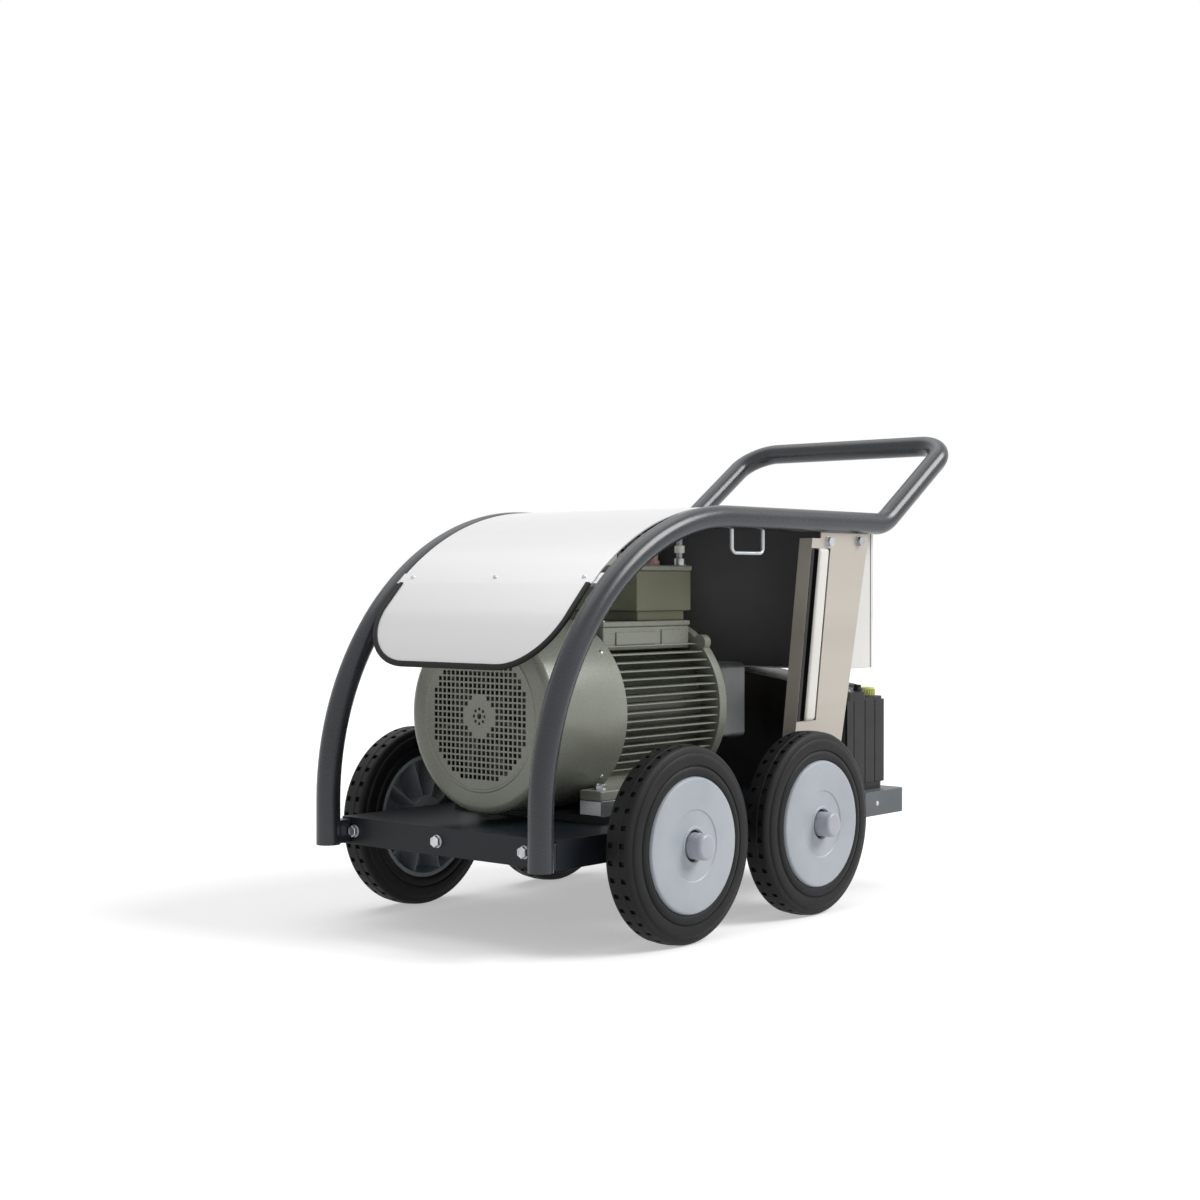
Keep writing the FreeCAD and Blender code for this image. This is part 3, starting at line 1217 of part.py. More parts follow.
def hose_hook():
    """Bent rod welded under the right-hand rail."""
    points = [Vector(AX + HOOK_X[0], -TUBE_Y, RAIL_Z), Vector(AX + HOOK_X[0], -TUBE_Y, HOOK_Z),
              Vector(AX + HOOK_X[1], -TUBE_Y, HOOK_Z), Vector(AX + HOOK_X[1], -TUBE_Y, RAIL_Z)]
    bar = pipe(bent_path(points, [HOOK_BEND, HOOK_BEND]), HOOK_RADIUS)
    return max(bar.cut(pipe(side_path(0), TUBE_RADIUS)).Solids, key=lambda s: s.Volume)


def hex_bolt(start, axis, shank):
    """A bolt with its head standing on a point; the axis points out of the head."""
    head = hex_prism(start, axis, BOLT_HEAD_FLATS, BOLT_HEAD)
    return head.fuse(rod(start - axis * shank, axis, BOLT_RADIUS, shank))


def hex_bolts():
    """All M10 bolts: chassis front, motor feet and uprights."""
    bolts = [hex_bolt(Vector(CHASSIS_X, y, front_bolt_z()), X * -1, BOLT_SHANK) for y in FRONT_BOLT_Y]
    for x, y in foot_places():
        bolts.append(hex_bolt(Vector(x, y, FOOT_BASE_Z + FOOT_THICK), Z, FOOT_BOLT_SHANK))
    for side in (-1, 1):
        for x, z in UPRIGHT_BOLTS:
            start = Vector(AX + x, side * (TUBE_Y + UPRIGHT_SHEET / 2), z)
            bolts.append(hex_bolt(start, Y * side, BOLT_SHANK))
    return group(bolts)


def small_screws():
    """Round-head screws of the hood and of the fan cowl."""
    screws = []
    for start, axis in hood_screw_places() + cowl_screw_places():
        head = rod(start, axis, SCREW_HEAD_RADIUS, SCREW_HEAD)
        screws.append(head.fuse(rod(start - axis * SCREW_SHANK, axis, SCREW_RADIUS, SCREW_SHANK)))
    return group(screws)


def save(name, shape):
    shape.exportStep(os.path.join("parts", name + ".step"))


def build():
    os.makedirs("parts", exist_ok=True)
    for place, x in (("front", AX), ("rear", REAR_AX)):
        for hand, side in (("right", -1), ("left", 1)):
            save(f"tyre_{place}_{hand}", tyre(x, side))
            save(f"wheel_disc_{place}_{hand}", wheel_disc(x, side))
    for hand, shape in (("right", frame_tube()), ("left", mirrored(frame_tube()))):
        save(f"frame_tube_{hand}", shape)
    save("uprights", group([upright(), mirrored(upright())]))
    save("cable_ducts", group([cable_duct(), mirrored(cable_duct())]))
    for maker in (
        axles, chassis_tray, rear_tray, motor_rails, motor_spacers, handle_tube, hood_panel, hood_trim,
        hood_crossbar, fan_cowl, cooling_fan, fan_shield, stator_housing, stator_core, rotor_core,
        motor_shaft, motor_bearings, drive_shield, terminal_box, junction_box, box_lids, conduit,
        bell_housing, shaft_coupling, crankshaft, pump_crankcase, pump_plungers, pump_head,
        unloader_valve, regulator_knob, suction_hose, pressure_pipe, outlet_coupler, water_tank,
        tank_cap, water_inlet, cabinet_body, door_gasket, cabinet_door, door_hinges, main_switch,
        door_latch, control_gear, hose_hook, hex_bolts, small_screws,
    ):
        save(maker.__name__, maker())
    save("start_button", push_button(BUTTON_Y[0]))
    save("stop_button", push_button(BUTTON_Y[1]))


build()
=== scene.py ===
import math

import bmesh
import bpy
from mathutils import Matrix, Vector


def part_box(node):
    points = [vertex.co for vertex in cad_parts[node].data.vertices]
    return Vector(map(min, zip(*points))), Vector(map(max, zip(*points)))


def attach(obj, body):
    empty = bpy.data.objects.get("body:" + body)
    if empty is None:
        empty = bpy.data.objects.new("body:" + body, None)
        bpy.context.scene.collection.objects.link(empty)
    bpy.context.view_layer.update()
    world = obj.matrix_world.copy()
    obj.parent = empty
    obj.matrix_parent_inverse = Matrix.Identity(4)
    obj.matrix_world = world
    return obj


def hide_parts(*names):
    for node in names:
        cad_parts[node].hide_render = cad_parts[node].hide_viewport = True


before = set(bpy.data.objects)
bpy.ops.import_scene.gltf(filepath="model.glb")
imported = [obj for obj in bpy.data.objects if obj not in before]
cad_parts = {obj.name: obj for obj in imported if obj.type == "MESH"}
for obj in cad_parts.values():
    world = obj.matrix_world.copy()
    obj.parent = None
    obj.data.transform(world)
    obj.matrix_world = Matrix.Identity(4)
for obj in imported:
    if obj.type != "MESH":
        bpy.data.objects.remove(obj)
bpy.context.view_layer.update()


# ---------------------------------------------------------------- studio
# A plain white sweep under two wide soft lamps, as machines of this size are shown. The floor and the air
# behind stay white, while the floor still takes the machine's soft shadow.
def hex_colour(code):
    """An sRGB hex colour as linear RGBA."""
    channels = [int(code[k:k + 2], 16) / 255 for k in (1, 3, 5)]
    return [c / 12.92 if c <= 0.04045 else ((c + 0.055) / 1.055) ** 2.4 for c in channels] + [1.0]


def add(tree, kind, inputs=None, **settings):
    """Adds a node with its settings, and with its inputs linked or set."""
    made = tree.nodes.new(kind)
    for key, value in settings.items():
        setattr(made, key, value)
    for key, value in (inputs or {}).items():
        if isinstance(value, bpy.types.NodeSocket):
            tree.links.new(value, made.inputs[key])
        else:
            made.inputs[key].default_value = value
    return made


def white_to_the_eye(tree, lighting):
    """1 where a ray comes from the camera, a mirror or glass, and the lighting level elsewhere."""
    path = add(tree, "ShaderNodeLightPath")
    seen = add(tree, "ShaderNodeMath", {0: path.outputs["Is Camera Ray"], 1: path.outputs["Is Glossy Ray"]},
               operation="MAXIMUM")
    seen = add(tree, "ShaderNodeMath", {0: seen.outputs[0], 1: path.outputs["Is Transmission Ray"]},
               operation="MAXIMUM")
    return add(tree, "ShaderNodeMapRange", {"Value": seen.outputs[0], "To Min": lighting, "To Max": 1.0})


SKY_LIGHT = 0.3
FLOOR_GLOW = 0.42
FLOOR_SIZE = 40.0

world = bpy.data.worlds.new("studio_air")
world.use_nodes = True
world.node_tree.nodes.clear()
level = white_to_the_eye(world.node_tree, SKY_LIGHT)
air = add(world.node_tree, "ShaderNodeBackground",
          {"Color": hex_colour("#ffffff"), "Strength": level.outputs[0]})
add(world.node_tree, "ShaderNodeOutputWorld", {"Surface": air.outputs[0]})
bpy.context.scene.world = world

floor_paper = bpy.data.materials.new("paper_sweep_matt_white")
floor_paper.use_nodes = True
floor_paper.node_tree.nodes.clear()
matt = add(floor_paper.node_tree, "ShaderNodeBsdfDiffuse", {"Color": hex_colour("#e4e4e4")})
level = white_to_the_eye(floor_paper.node_tree, 0.0)
glow_level = add(floor_paper.node_tree, "ShaderNodeMath", {0: level.outputs[0], 1: FLOOR_GLOW},
                 operation="MULTIPLY")
glow = add(floor_paper.node_tree, "ShaderNodeEmission", {"Strength": glow_level.outputs[0]})
paper = add(floor_paper.node_tree, "ShaderNodeAddShader", {0: matt.outputs[0], 1: glow.outputs[0]})
add(floor_paper.node_tree, "ShaderNodeOutputMaterial", {"Surface": paper.outputs[0]})


def put(name, mesh):
    """An object at the origin, in the scene, with its place in its mesh."""
    made = bpy.data.objects.new(name, mesh)
    bpy.context.scene.collection.objects.link(made)
    return made


sweep = bpy.data.meshes.new("floor")
reach = FLOOR_SIZE / 2
sweep.from_pydata([(-reach, -reach, 0), (reach, -reach, 0), (reach, reach, 0), (-reach, reach, 0)], [],
                  [(0, 1, 2, 3)])
sweep.materials.append(floor_paper)
put("floor", sweep)


def soft_light(name, source, strength, spread):
    """A wide distant lamp that shines from a direction, with the soft edge of a large box."""
    lamp = bpy.data.lights.new(name, "SUN")
    lamp.energy = strength
    lamp.angle = math.radians(spread)
    made = put(name, lamp)
    made.rotation_euler = Vector(source).to_track_quat("Z", "Y").to_euler()
    return made


soft_light("key_box", (0.6, -0.75, 0.8), 2.2, 30)
soft_light("top_box", (0.1, 0.25, 1.0), 1.0, 60)

CAMERA_PLACE = Vector((-2.5468, -2.0217, 0.5408))
CAMERA_HEADING = 0.8649
CAMERA_TILT = -0.0087
lens = bpy.data.cameras.new("camera")
lens.sensor_width = 36.0
lens.lens = 56.5
camera = put("camera", lens)
camera.location = CAMERA_PLACE
ahead = Vector((math.sin(CAMERA_HEADING) * math.cos(CAMERA_TILT),
                math.cos(CAMERA_HEADING) * math.cos(CAMERA_TILT), math.sin(CAMERA_TILT)))
camera.rotation_euler = ahead.to_track_quat("-Z", "Y").to_euler()
bpy.context.scene.camera = camera
bpy.context.scene.view_settings.view_transform = "Standard"


# ---------------------------------------------------------------- chassis trays
# Folded sheet-steel trays that carry everything: a dark deck, and a paler tray riveted behind it. They are
# pressed on a brake, so every fold is rounded, and powder coated after welding.
def finish(name, light, dark, roughness, grain, relief, metallic=0.0, cloud=0.09, stretch=(1, 1, 1),
           shine=0.5):
    """A surface whose colour drifts between two shades, with its own spread of gloss and a fine relief.
    Grain, cloud and relief are lengths in metres; stretch draws the pattern out along an axis."""
    made = bpy.data.materials.new(name)
    made.use_nodes = True
    tree = made.node_tree
    tree.nodes.clear()
    place = add(tree, "ShaderNodeTexCoord")
    spread = add(tree, "ShaderNodeMapping", {"Vector": place.outputs["Object"], "Scale": stretch})
    drift = add(tree, "ShaderNodeTexNoise", {"Vector": spread.outputs[0], "Scale": 1 / cloud, "Detail": 4.0})
    speck = add(tree, "ShaderNodeTexNoise", {"Vector": spread.outputs[0], "Scale": 1 / grain, "Detail": 3.0})
    blend = add(tree, "ShaderNodeMapRange", {"Value": drift.outputs[0], "From Min": 0.35, "From Max": 0.65})
    colour = add(tree, "ShaderNodeMix", data_type="RGBA")
    tree.links.new(blend.outputs[0], colour.inputs[0])
    colour.inputs[6].default_value = hex_colour(dark)
    colour.inputs[7].default_value = hex_colour(light)
    gloss = add(tree, "ShaderNodeMapRange", {"Value": speck.outputs[0], "From Min": 0.3, "From Max": 0.7,
                                             "To Min": roughness[0], "To Max": roughness[1]})
    bumps = add(tree, "ShaderNodeBump", {"Height": speck.outputs[0], "Distance": relief, "Strength": 0.6})
    shader = add(tree, "ShaderNodeBsdfPrincipled",
                 {"Base Color": colour.outputs[2], "Roughness": gloss.outputs[0], "Metallic": metallic,
                  "Normal": bumps.outputs[0]})
    shader.inputs["Specular IOR Level"].default_value = shine
    add(tree, "ShaderNodeOutputMaterial", {"Surface": shader.outputs[0]})
    return made


SMOOTH = 35


def shade(mesh, degrees=SMOOTH):
    """Smooth shading that breaks at edges sharper than an angle."""
    mesh.shade_smooth()
    mesh.set_sharp_from_angle(angle=math.radians(degrees))


def as_mesh(name, shape, smooth=None):
    """A worked shape as a mesh, with smooth shading up to an angle if one is given."""
    mesh = bpy.data.meshes.new(name)
    shape.to_mesh(mesh)
    shape.free()
    if smooth:
        shade(mesh, smooth)
    return mesh


def baked(piece, name=None, smooth=True):
    """The piece with its modifiers worked into its mesh."""
    graph = bpy.context.evaluated_depsgraph_get()
    mesh = bpy.data.meshes.new_from_object(piece.evaluated_get(graph))
    name = name or piece.name
    bpy.data.objects.remove(piece)
    if smooth:
        shade(mesh)
    return put(name, mesh)


def eased(name, mesh, width, segments=3):
    """A mesh with every sharp edge rounded to a width, and its large faces left flat."""
    mesh.shade_smooth()
    piece = put(name + "_sharp", mesh)
    edge = piece.modifiers.new("edge", "BEVEL")
    edge.width = width
    edge.segments = segments
    edge.limit_method = "ANGLE"
    edge.angle_limit = math.radians(SMOOTH)
    edge.use_clamp_overlap = True
    piece.modifiers.new("flat_faces", "WEIGHTED_NORMAL").keep_sharp = True
    return baked(piece, name, smooth=False)


def merged(*nodes):
    """The construction's own shape of some nodes, with its triangles joined into clean faces."""
    shape = bmesh.new()
    for node in nodes:
        shape.from_mesh(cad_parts[node].data)
    bmesh.ops.remove_doubles(shape, verts=shape.verts, dist=2e-5)
    bmesh.ops.dissolve_limit(shape, angle_limit=math.radians(0.6), verts=shape.verts, edges=shape.edges)
    return as_mesh(nodes[0], shape)


def fitted(piece, material, body, slot, *nodes):
    """Gives a piece its finish and the body it rides on, and hides the nodes it stands for; its slot is not
    used.
    """
    if material is not None:
        piece.data.materials.clear()
        piece.data.materials.append(material)
    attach(piece, body)
    if nodes:
        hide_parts(*nodes)
    return piece


def clad(name, node, width, material, body, slot):
    """A construction node's own shape with its edges rounded, standing for that node."""
    return fitted(eased(name, merged(node), width), material, body, slot, node)


FOLD_RADIUS = 0.0018
# Satin powder coat: one even colour, a soft wide highlight and a trace of orange peel.
deck_coat = finish("powder_coat_slate_satin", "#1a1f25", "#14181d", (0.34, 0.46), 0.0011, 0.00012, shine=0.25)
tray_coat = finish("powder_coat_grey_satin", "#5e6266", "#54585c", (0.36, 0.48), 0.0011, 0.00012, shine=0.4)
clad("deck_tray", "chassis_tray", FOLD_RADIUS, deck_coat, "chassis", "deck_paint")
clad("rear_deck_tray", "rear_tray", FOLD_RADIUS, tray_coat, "chassis", "rear_tray_steel")
tray_low, tray_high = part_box("chassis_tray")
rear_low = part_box("rear_tray")[0]


# ---------------------------------------------------------------- tube frame
# One 38 mm steel tube each side, bent from the front foot over the motor and up into the push handle. It is
# powder coated anthracite, with its foot closed and a lug welded to the deck's front corner.
def bent(points, radii, closed=False, step=math.radians(5)):
    """Points along straight runs that are joined by tangent arcs of given radii."""
    points = [Vector(p) for p in points]
    count = len(points)
    line = []
    for k, corner in enumerate(points):
        radius = radii[k]
        if radius == 0 or (not closed and k in (0, count - 1)):
            line.append(corner)
            continue
        back = (points[k - 1] - corner).normalized()
        ahead_run = (points[(k + 1) % count] - corner).normalized()
        half = back.angle(ahead_run) / 2
        centre = corner + (back + ahead_run).normalized() * (radius / math.sin(half))
        start = corner + back * (radius / math.tan(half)) - centre
        end = corner + ahead_run * (radius / math.tan(half)) - centre
        sweep_angle = start.angle(end)
        steps = max(2, math.ceil(sweep_angle / step))
        axis = start.cross(end)
        line += [centre + Matrix.Rotation(sweep_angle * i / steps, 3, axis) @ start for i in range(steps + 1)]
    return line


def path_object(points, closed=False):
    """A line of points as an object for a geometry tree to grow on."""
    mesh = bpy.data.meshes.new("path")
    edges = [(k, k + 1) for k in range(len(points) - 1)]
    if closed:
        edges.append((len(points) - 1, 0))
    mesh.from_pydata(points, edges, [])
    return put("path", mesh)


def tree_with(name, **sizes):
    """An empty geometry tree with named inputs, and the node that its inputs come out of."""
    tree = bpy.data.node_groups.new(name, "GeometryNodeTree")
    tree.interface.new_socket("Geometry", in_out="INPUT", socket_type="NodeSocketGeometry")
    for label, kind in sizes.items():
        tree.interface.new_socket(label, in_out="INPUT", socket_type="NodeSocket" + kind)
    tree.interface.new_socket("Geometry", in_out="OUTPUT", socket_type="NodeSocketGeometry")
    return tree, tree.nodes.new("NodeGroupInput").outputs


def ends_in(tree, geometry, material):
    """The tree's last nodes: real geometry with its finish."""
    real = add(tree, "GeometryNodeRealizeInstances", {"Geometry": geometry})
    coated = add(tree, "GeometryNodeSetMaterial", {"Geometry": real.outputs[0], "Material": material})
    add(tree, "NodeGroupOutput", {0: coated.outputs[0]})


def grown(name, source, tree, **values):
    """The plain mesh that a geometry tree makes on a source object."""
    modifier = source.modifiers.new("growth", "NODES")
    modifier.node_group = tree
    for item in tree.interface.items_tree:
        if item.in_out == "INPUT" and item.name in values:
            modifier[item.identifier] = values[item.name]
    graph = bpy.context.evaluated_depsgraph_get()
    mesh = bpy.data.meshes.new_from_object(source.evaluated_get(graph))
    source.modifiers.remove(modifier)
    bpy.data.objects.remove(source)
    shade(mesh)
    return put(name, mesh)


def seed():
    """A short line for a geometry tree that makes all its own points."""
    return path_object([(0, 0, 0), (0, 0, 0.01)])


tube_tree, given = tree_with("tube_along_a_path", Radius="Float", Sides="Int", Finish="Material")
run = add(tube_tree, "GeometryNodeMeshToCurve", {0: given["Geometry"]})
section = add(tube_tree, "GeometryNodeCurvePrimitiveCircle",
              {"Resolution": given["Sides"], "Radius": given["Radius"]})
skin = add(tube_tree, "GeometryNodeCurveToMesh",
           {"Curve": run.outputs[0], "Profile Curve": section.outputs[0], "Fill Caps": True})
ends_in(tube_tree, skin.outputs[0], given["Finish"])


def piped(name, corners, radii, radius, sides, coat, slot, *nodes, step=math.radians(5)):
    """A round bar or tube bent through corners, fixed to the chassis."""
    bar = grown(name, path_object(bent(corners, radii, step=step)), tube_tree, Radius=radius, Sides=sides,
                Finish=coat)
    return fitted(bar, None, "chassis", slot, *nodes)


def turned(name, profile, centre, axis, steps=96, closed=False):
    """A shape turned round an axis through a centre, from (along, radius) points."""
    shape = bmesh.new()
    rings = []
    for along, radius in profile:
        count = steps if radius > 1e-6 else 1
        ring = []
        for k in range(count):
            angle = 2 * math.pi * k / steps
            across, up = radius * math.cos(angle), radius * math.sin(angle)
            local = {"X": (along, across, up), "Y": (across, along, up), "Z": (across, up, along)}[axis]
            ring.append(shape.verts.new(Vector(centre) + Vector(local)))
        rings.append(ring)
    pairs = list(zip(rings, rings[1:])) + ([(rings[-1], rings[0])] if closed else [])
    for low, high in pairs:
        for k in range(steps):
            after = k + 1
            corners = [low[k % len(low)], low[after % len(low)], high[after % len(high)], high[k % len(high)]]
            face = list(dict.fromkeys(corners))
            if len(face) > 2:
                shape.faces.new(face)
    bmesh.ops.recalc_face_normals(shape, faces=shape.faces)
    return put(name, as_mesh(name, shape, SMOOTH))


def round_x(degrees, radius=1.0):
    """The across and up of a point at an angle round an axis that runs along X."""
    return radius * math.cos(math.radians(degrees)), radius * math.sin(math.radians(degrees))


def outline(corners, closed=True):
    """(along, radius) corners, each with its own rounding, as the points of a profile."""
    line = bent([(a, r, 0) for a, r, _ in corners], [c[2] for c in corners], closed, math.radians(18))
    return [(p.x, p.y) for p in line]


TUBE_SIDES = 48
TUBE_STEP = math.radians(2.5)
ARC_RADIUS = 0.4464
KNEE_RADIUS = 0.08
CORNER_RADIUS = 0.062
RISE = math.radians(33.6)
# The same coat, glossier on a tube: a long thin highlight follows each bend.
frame_coat = finish("powder_coat_anthracite_satin", "#2e3238", "#262a2f", (0.22, 0.3), 0.0009, 0.00008,
                    shine=0.5)
leg_low, leg_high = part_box("frame_tube_right")
bar_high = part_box("handle_tube")[1]
tube_radius = (leg_high.y - leg_low.y) / 2
tube_y = bar_high.y - tube_radius
rail_z = leg_high.z - tube_radius
foot_x = leg_low.x + tube_radius
cross_x = bar_high.x - tube_radius
cross_z = bar_high.z - tube_radius
knee_x = cross_x - (cross_z - rail_z) / math.tan(RISE)
half_run = [(foot_x, -tube_y, leg_low.z), (foot_x, -tube_y, rail_z), (knee_x, -tube_y, rail_z),
            (cross_x, -tube_y, cross_z)]
whole_run = half_run + [(x, -y, z) for x, y, z in reversed(half_run)]
bends = [0, ARC_RADIUS, KNEE_RADIUS, CORNER_RADIUS]
piped("frame_and_handle_tube", whole_run, bends + bends[::-1], tube_radius, TUBE_SIDES, frame_coat,
      "frame_paint", "frame_tube_left", "frame_tube_right", "handle_tube", step=TUBE_STEP)


def blocks(*boxes):
    """A mesh of separate boxes, each from its lowest and highest corner."""
    shape = bmesh.new()
    for low, high in boxes:
        low, high = Vector(low), Vector(high)
        place = Matrix.Translation((low + high) / 2) @ Matrix.Diagonal((*(high - low), 1))
        bmesh.ops.create_cube(shape, size=1.0, matrix=place)
    return as_mesh("blocks", shape)


LUG_WIDTH = 0.02
LUG_MARGIN = 0.003
deck_side = tray_high.y
lugs = [((foot_x, min(side * deck_side, side * (deck_side - LUG_WIDTH)), tray_low.z + LUG_MARGIN),
         (tray_low.x, max(side * deck_side, side * (deck_side - LUG_WIDTH)), tray_high.z - LUG_MARGIN))
        for side in (-1, 1)]
fitted(eased("foot_lugs", blocks(*lugs), 0.0015), frame_coat, "chassis", "frame_paint")


# ---------------------------------------------------------------- axles
# Two zinc-plated 25 mm axles with a collar inside each wheel and a washer riveted over each end. They are
# turned from bright bar, so they show fine rings and a soft metallic glint.
zinc = finish("zinc_plated_steel", "#c3c6c8", "#a9adb0", (0.3, 0.45), 0.0006, 0.00005, metallic=1.0)
clad("wheel_axles", "axles", 0.0008, zinc, "chassis", "machined_steel")


# ---------------------------------------------------------------- tyres
# Solid black rubber tyres, 300 by 50 mm, pressed in a mould: a round bead against the disc, a stepped
# sidewall, and two rows of notches beside a raised middle band. Rubber is dull and a little dusty.
NOTCHES = 36
NOTCH_DEPTH = 0.0042
NOTCH_TURN = (0.0, 0.35, 0.38, 0.62, 0.65)
HALF_SECTION = [
    (0.0215, 0.1030, 0), (0.0250, 0.1036, 0), (0.0266, 0.1062, 0), (0.0273, 0.1105, 0), (0.0268, 0.1148, 0),
    (0.0256, 0.1174, 0), (0.0238, 0.1184, 0), (0.0238, 0.1194, 0), (0.0254, 0.1204, 0), (0.0260, 0.1236, 0),
    (0.0259, 0.1310, 0), (0.0252, 0.1358, 0), (0.0243, 0.1374, 0), (0.0230, 0.1379, 0), (0.0227, 0.1398, 0),
    (0.0224, 0.1410, 0), (0.0216, 0.1448, 0), (0.0200, 0.1474, 0), (0.0172, 0.1488, 0), (0.0148, 0.1491, 0),
    (0.0145, 0.1491, 1), (0.0062, 0.1493, 1), (0.0059, 0.1493, 0), (0.0052, 0.1500, 0), (0.0, 0.1500, 0),
]
rubber = finish("solid_rubber_moulded_black", "#171719", "#0e0f10", (0.46, 0.66), 0.0013, 0.00025, cloud=0.05,
                shine=0.25)


def tyre(name, centre):
    """A moulded tyre whose tread rows drop into notches at equal turns."""
    section = HALF_SECTION + [(-y, r, cut) for y, r, cut in reversed(HALF_SECTION[:-1])]
    shape = bmesh.new()
    columns = []
    for k in range(NOTCHES):
        for step, turn in enumerate(NOTCH_TURN):
            angle = 2 * math.pi * (k + turn) / NOTCHES
            depth = NOTCH_DEPTH if step in (2, 3) else 0.0
            columns.append([shape.verts.new(centre + Vector(((r - cut * depth) * math.cos(angle), y,
                                                             (r - cut * depth) * math.sin(angle))))
                            for y, r, cut in section])
    for here, there in zip(columns, columns[1:] + columns[:1]):
        for k in range(len(section)):
            after = (k + 1) % len(section)
            shape.faces.new((here[k], here[after], there[after], there[k]))
    bmesh.ops.recalc_face_normals(shape, faces=shape.faces)
    return put(name, as_mesh(name, shape, 40))


wheels = [(f"{place}_{hand}", side) for place in ("front", "rear")
          for hand, side in (("right", -1), ("left", 1))]
wheel_centres = {}
for wheel, side in wheels:
    low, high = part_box(f"tyre_{wheel}")
    wheel_centres[wheel] = (low + high) / 2
    fitted(tyre(f"rubber_tyre_{wheel}", wheel_centres[wheel]), rubber, f"{wheel}_wheel", "tyre_rubber",
           f"tyre_{wheel}")


# ---------------------------------------------------------------- wheel discs and hub caps
# Moulded grey polypropylene wheel centres: a plain face with a shallow step, a raised ring round the hub,
# ribs behind, and a push-on cap over the axle's end. The moulding leaves a soft sheen.
RIM_RADIUS = 0.103
WEB_THICK = 0.012
HUB_RADIUS = 0.034
BORE_RADIUS = 0.0128
CAP_RADIUS = 0.02
CAP_LENGTH = 0.0245
HUB_WELL = 0.006
RIBS = 10
disc_plastic = finish("polypropylene_moulded_grey", "#b1b7bd", "#a6adb4", (0.36, 0.46), 0.0016, 0.00005)
cap_plastic = finish("polypropylene_moulded_pale_grey", "#b4b6bf", "#a8aab4", (0.3, 0.4), 0.0016, 0.00005)

rib_tree, given = tree_with("ring_of_ribs", Count="Int", Radius="Float", Rib="Object", Finish="Material")
spots = add(rib_tree, "GeometryNodeMeshCircle", {"Vertices": given["Count"], "Radius": given["Radius"]})
outward = add(rib_tree, "FunctionNodeAlignRotationToVector",
              {"Vector": add(rib_tree, "GeometryNodeInputPosition").outputs[0]}, axis="X", pivot_axis="Z")
rib_shape = add(rib_tree, "GeometryNodeObjectInfo", {"Object": given["Rib"]})
ribs = add(rib_tree, "GeometryNodeInstanceOnPoints",
           {"Points": spots.outputs[0], "Instance": rib_shape.outputs["Geometry"],
            "Rotation": outward.outputs[0]})
ends_in(rib_tree, ribs.outputs[0], given["Finish"])


def placed(piece, matrix):
    """The piece with its place and turn worked into its mesh."""
    piece.data.transform(matrix)
    if matrix.determinant() < 0:
        piece.data.flip_normals()
    return piece


for wheel, side in wheels:
    centre = wheel_centres[wheel]
    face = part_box(f"wheel_disc_{wheel}")[1 if side > 0 else 0].y * side - CAP_LENGTH
    back = abs(centre.y) - 0.025
    axis_point = (centre.x, 0, centre.z)
    profile = outline([
        (back, BORE_RADIUS, 0), (back, HUB_RADIUS, 0.002), (face - WEB_THICK, HUB_RADIUS, 0.003),
        (face - WEB_THICK, RIM_RADIUS - 0.008, 0.003), (back, RIM_RADIUS - 0.007, 0.001),
        (back, RIM_RADIUS, 0.0008), (face - 0.0042, RIM_RADIUS, 0.0006),
        (face - 0.0008, RIM_RADIUS - 0.0018, 0.0012),
        (face, RIM_RADIUS - 0.0045, 0.002), (face, 0.0545, 0.0006), (face - 0.0014, 0.0528, 0.0006),
        (face - 0.0014, 0.0292, 0.0005), (face + 0.0004, 0.0276, 0.0006), (face + 0.0004, 0.0246, 0.0008),
        (face - HUB_WELL, 0.0236, 0.0004), (face - HUB_WELL, BORE_RADIUS, 0),
    ])
    disc = turned(f"wheel_centre_{wheel}", [(side * y, r) for y, r in profile], axis_point, "Y", 128,
                  closed=True)
    fitted(disc, disc_plastic, f"{wheel}_wheel", "disc_plastic", f"wheel_disc_{wheel}")
    cap_profile = outline([
        (face - HUB_WELL, 0, 0), (face - HUB_WELL, CAP_RADIUS, 0), (face + 0.0012, CAP_RADIUS, 0.0004),
        (face + 0.0018, CAP_RADIUS - 0.0006, 0.0002), (face + 0.0024, CAP_RADIUS, 0.0004),
        (face + CAP_LENGTH, CAP_RADIUS, 0.0055), (face + CAP_LENGTH, 0, 0),
    ], closed=False)
    cap = turned(f"hub_cap_{wheel}", [(side * y, r) for y, r in cap_profile], axis_point, "Y", 64)
    fitted(cap, cap_plastic, f"{wheel}_wheel", "disc_plastic")
    # A black rubber ring on the floor of the hub well: painted shade for the dark gap round the cap.
    shade_ring = turned(f"hub_seal_{wheel}", [(side * (face - 0.0052), r) for r in (CAP_RADIUS - 0.0002, 0.0238)],
                  axis_point, "Y", 64)
    fitted(shade_ring, rubber, f"{wheel}_wheel", "tyre_rubber")
    rib = eased("rib", blocks(((-0.0305, -0.0015, 0.0), (0.0305, 0.0015, face - WEB_THICK - back))), 0.0005)
    rib_ring = grown(f"wheel_ribs_{wheel}", seed(), rib_tree, Count=RIBS,
                     Radius=(HUB_RADIUS + RIM_RADIUS - 0.008) / 2, Rib=rib, Finish=disc_plastic)
    bpy.data.objects.remove(rib)
    turn = Matrix.Rotation(math.radians(-90 * side), 4, "X")
    placed(rib_ring, Matrix.Translation((centre.x, side * back, centre.z)) @ turn)
    fitted(rib_ring, None, f"{wheel}_wheel", "disc_plastic")


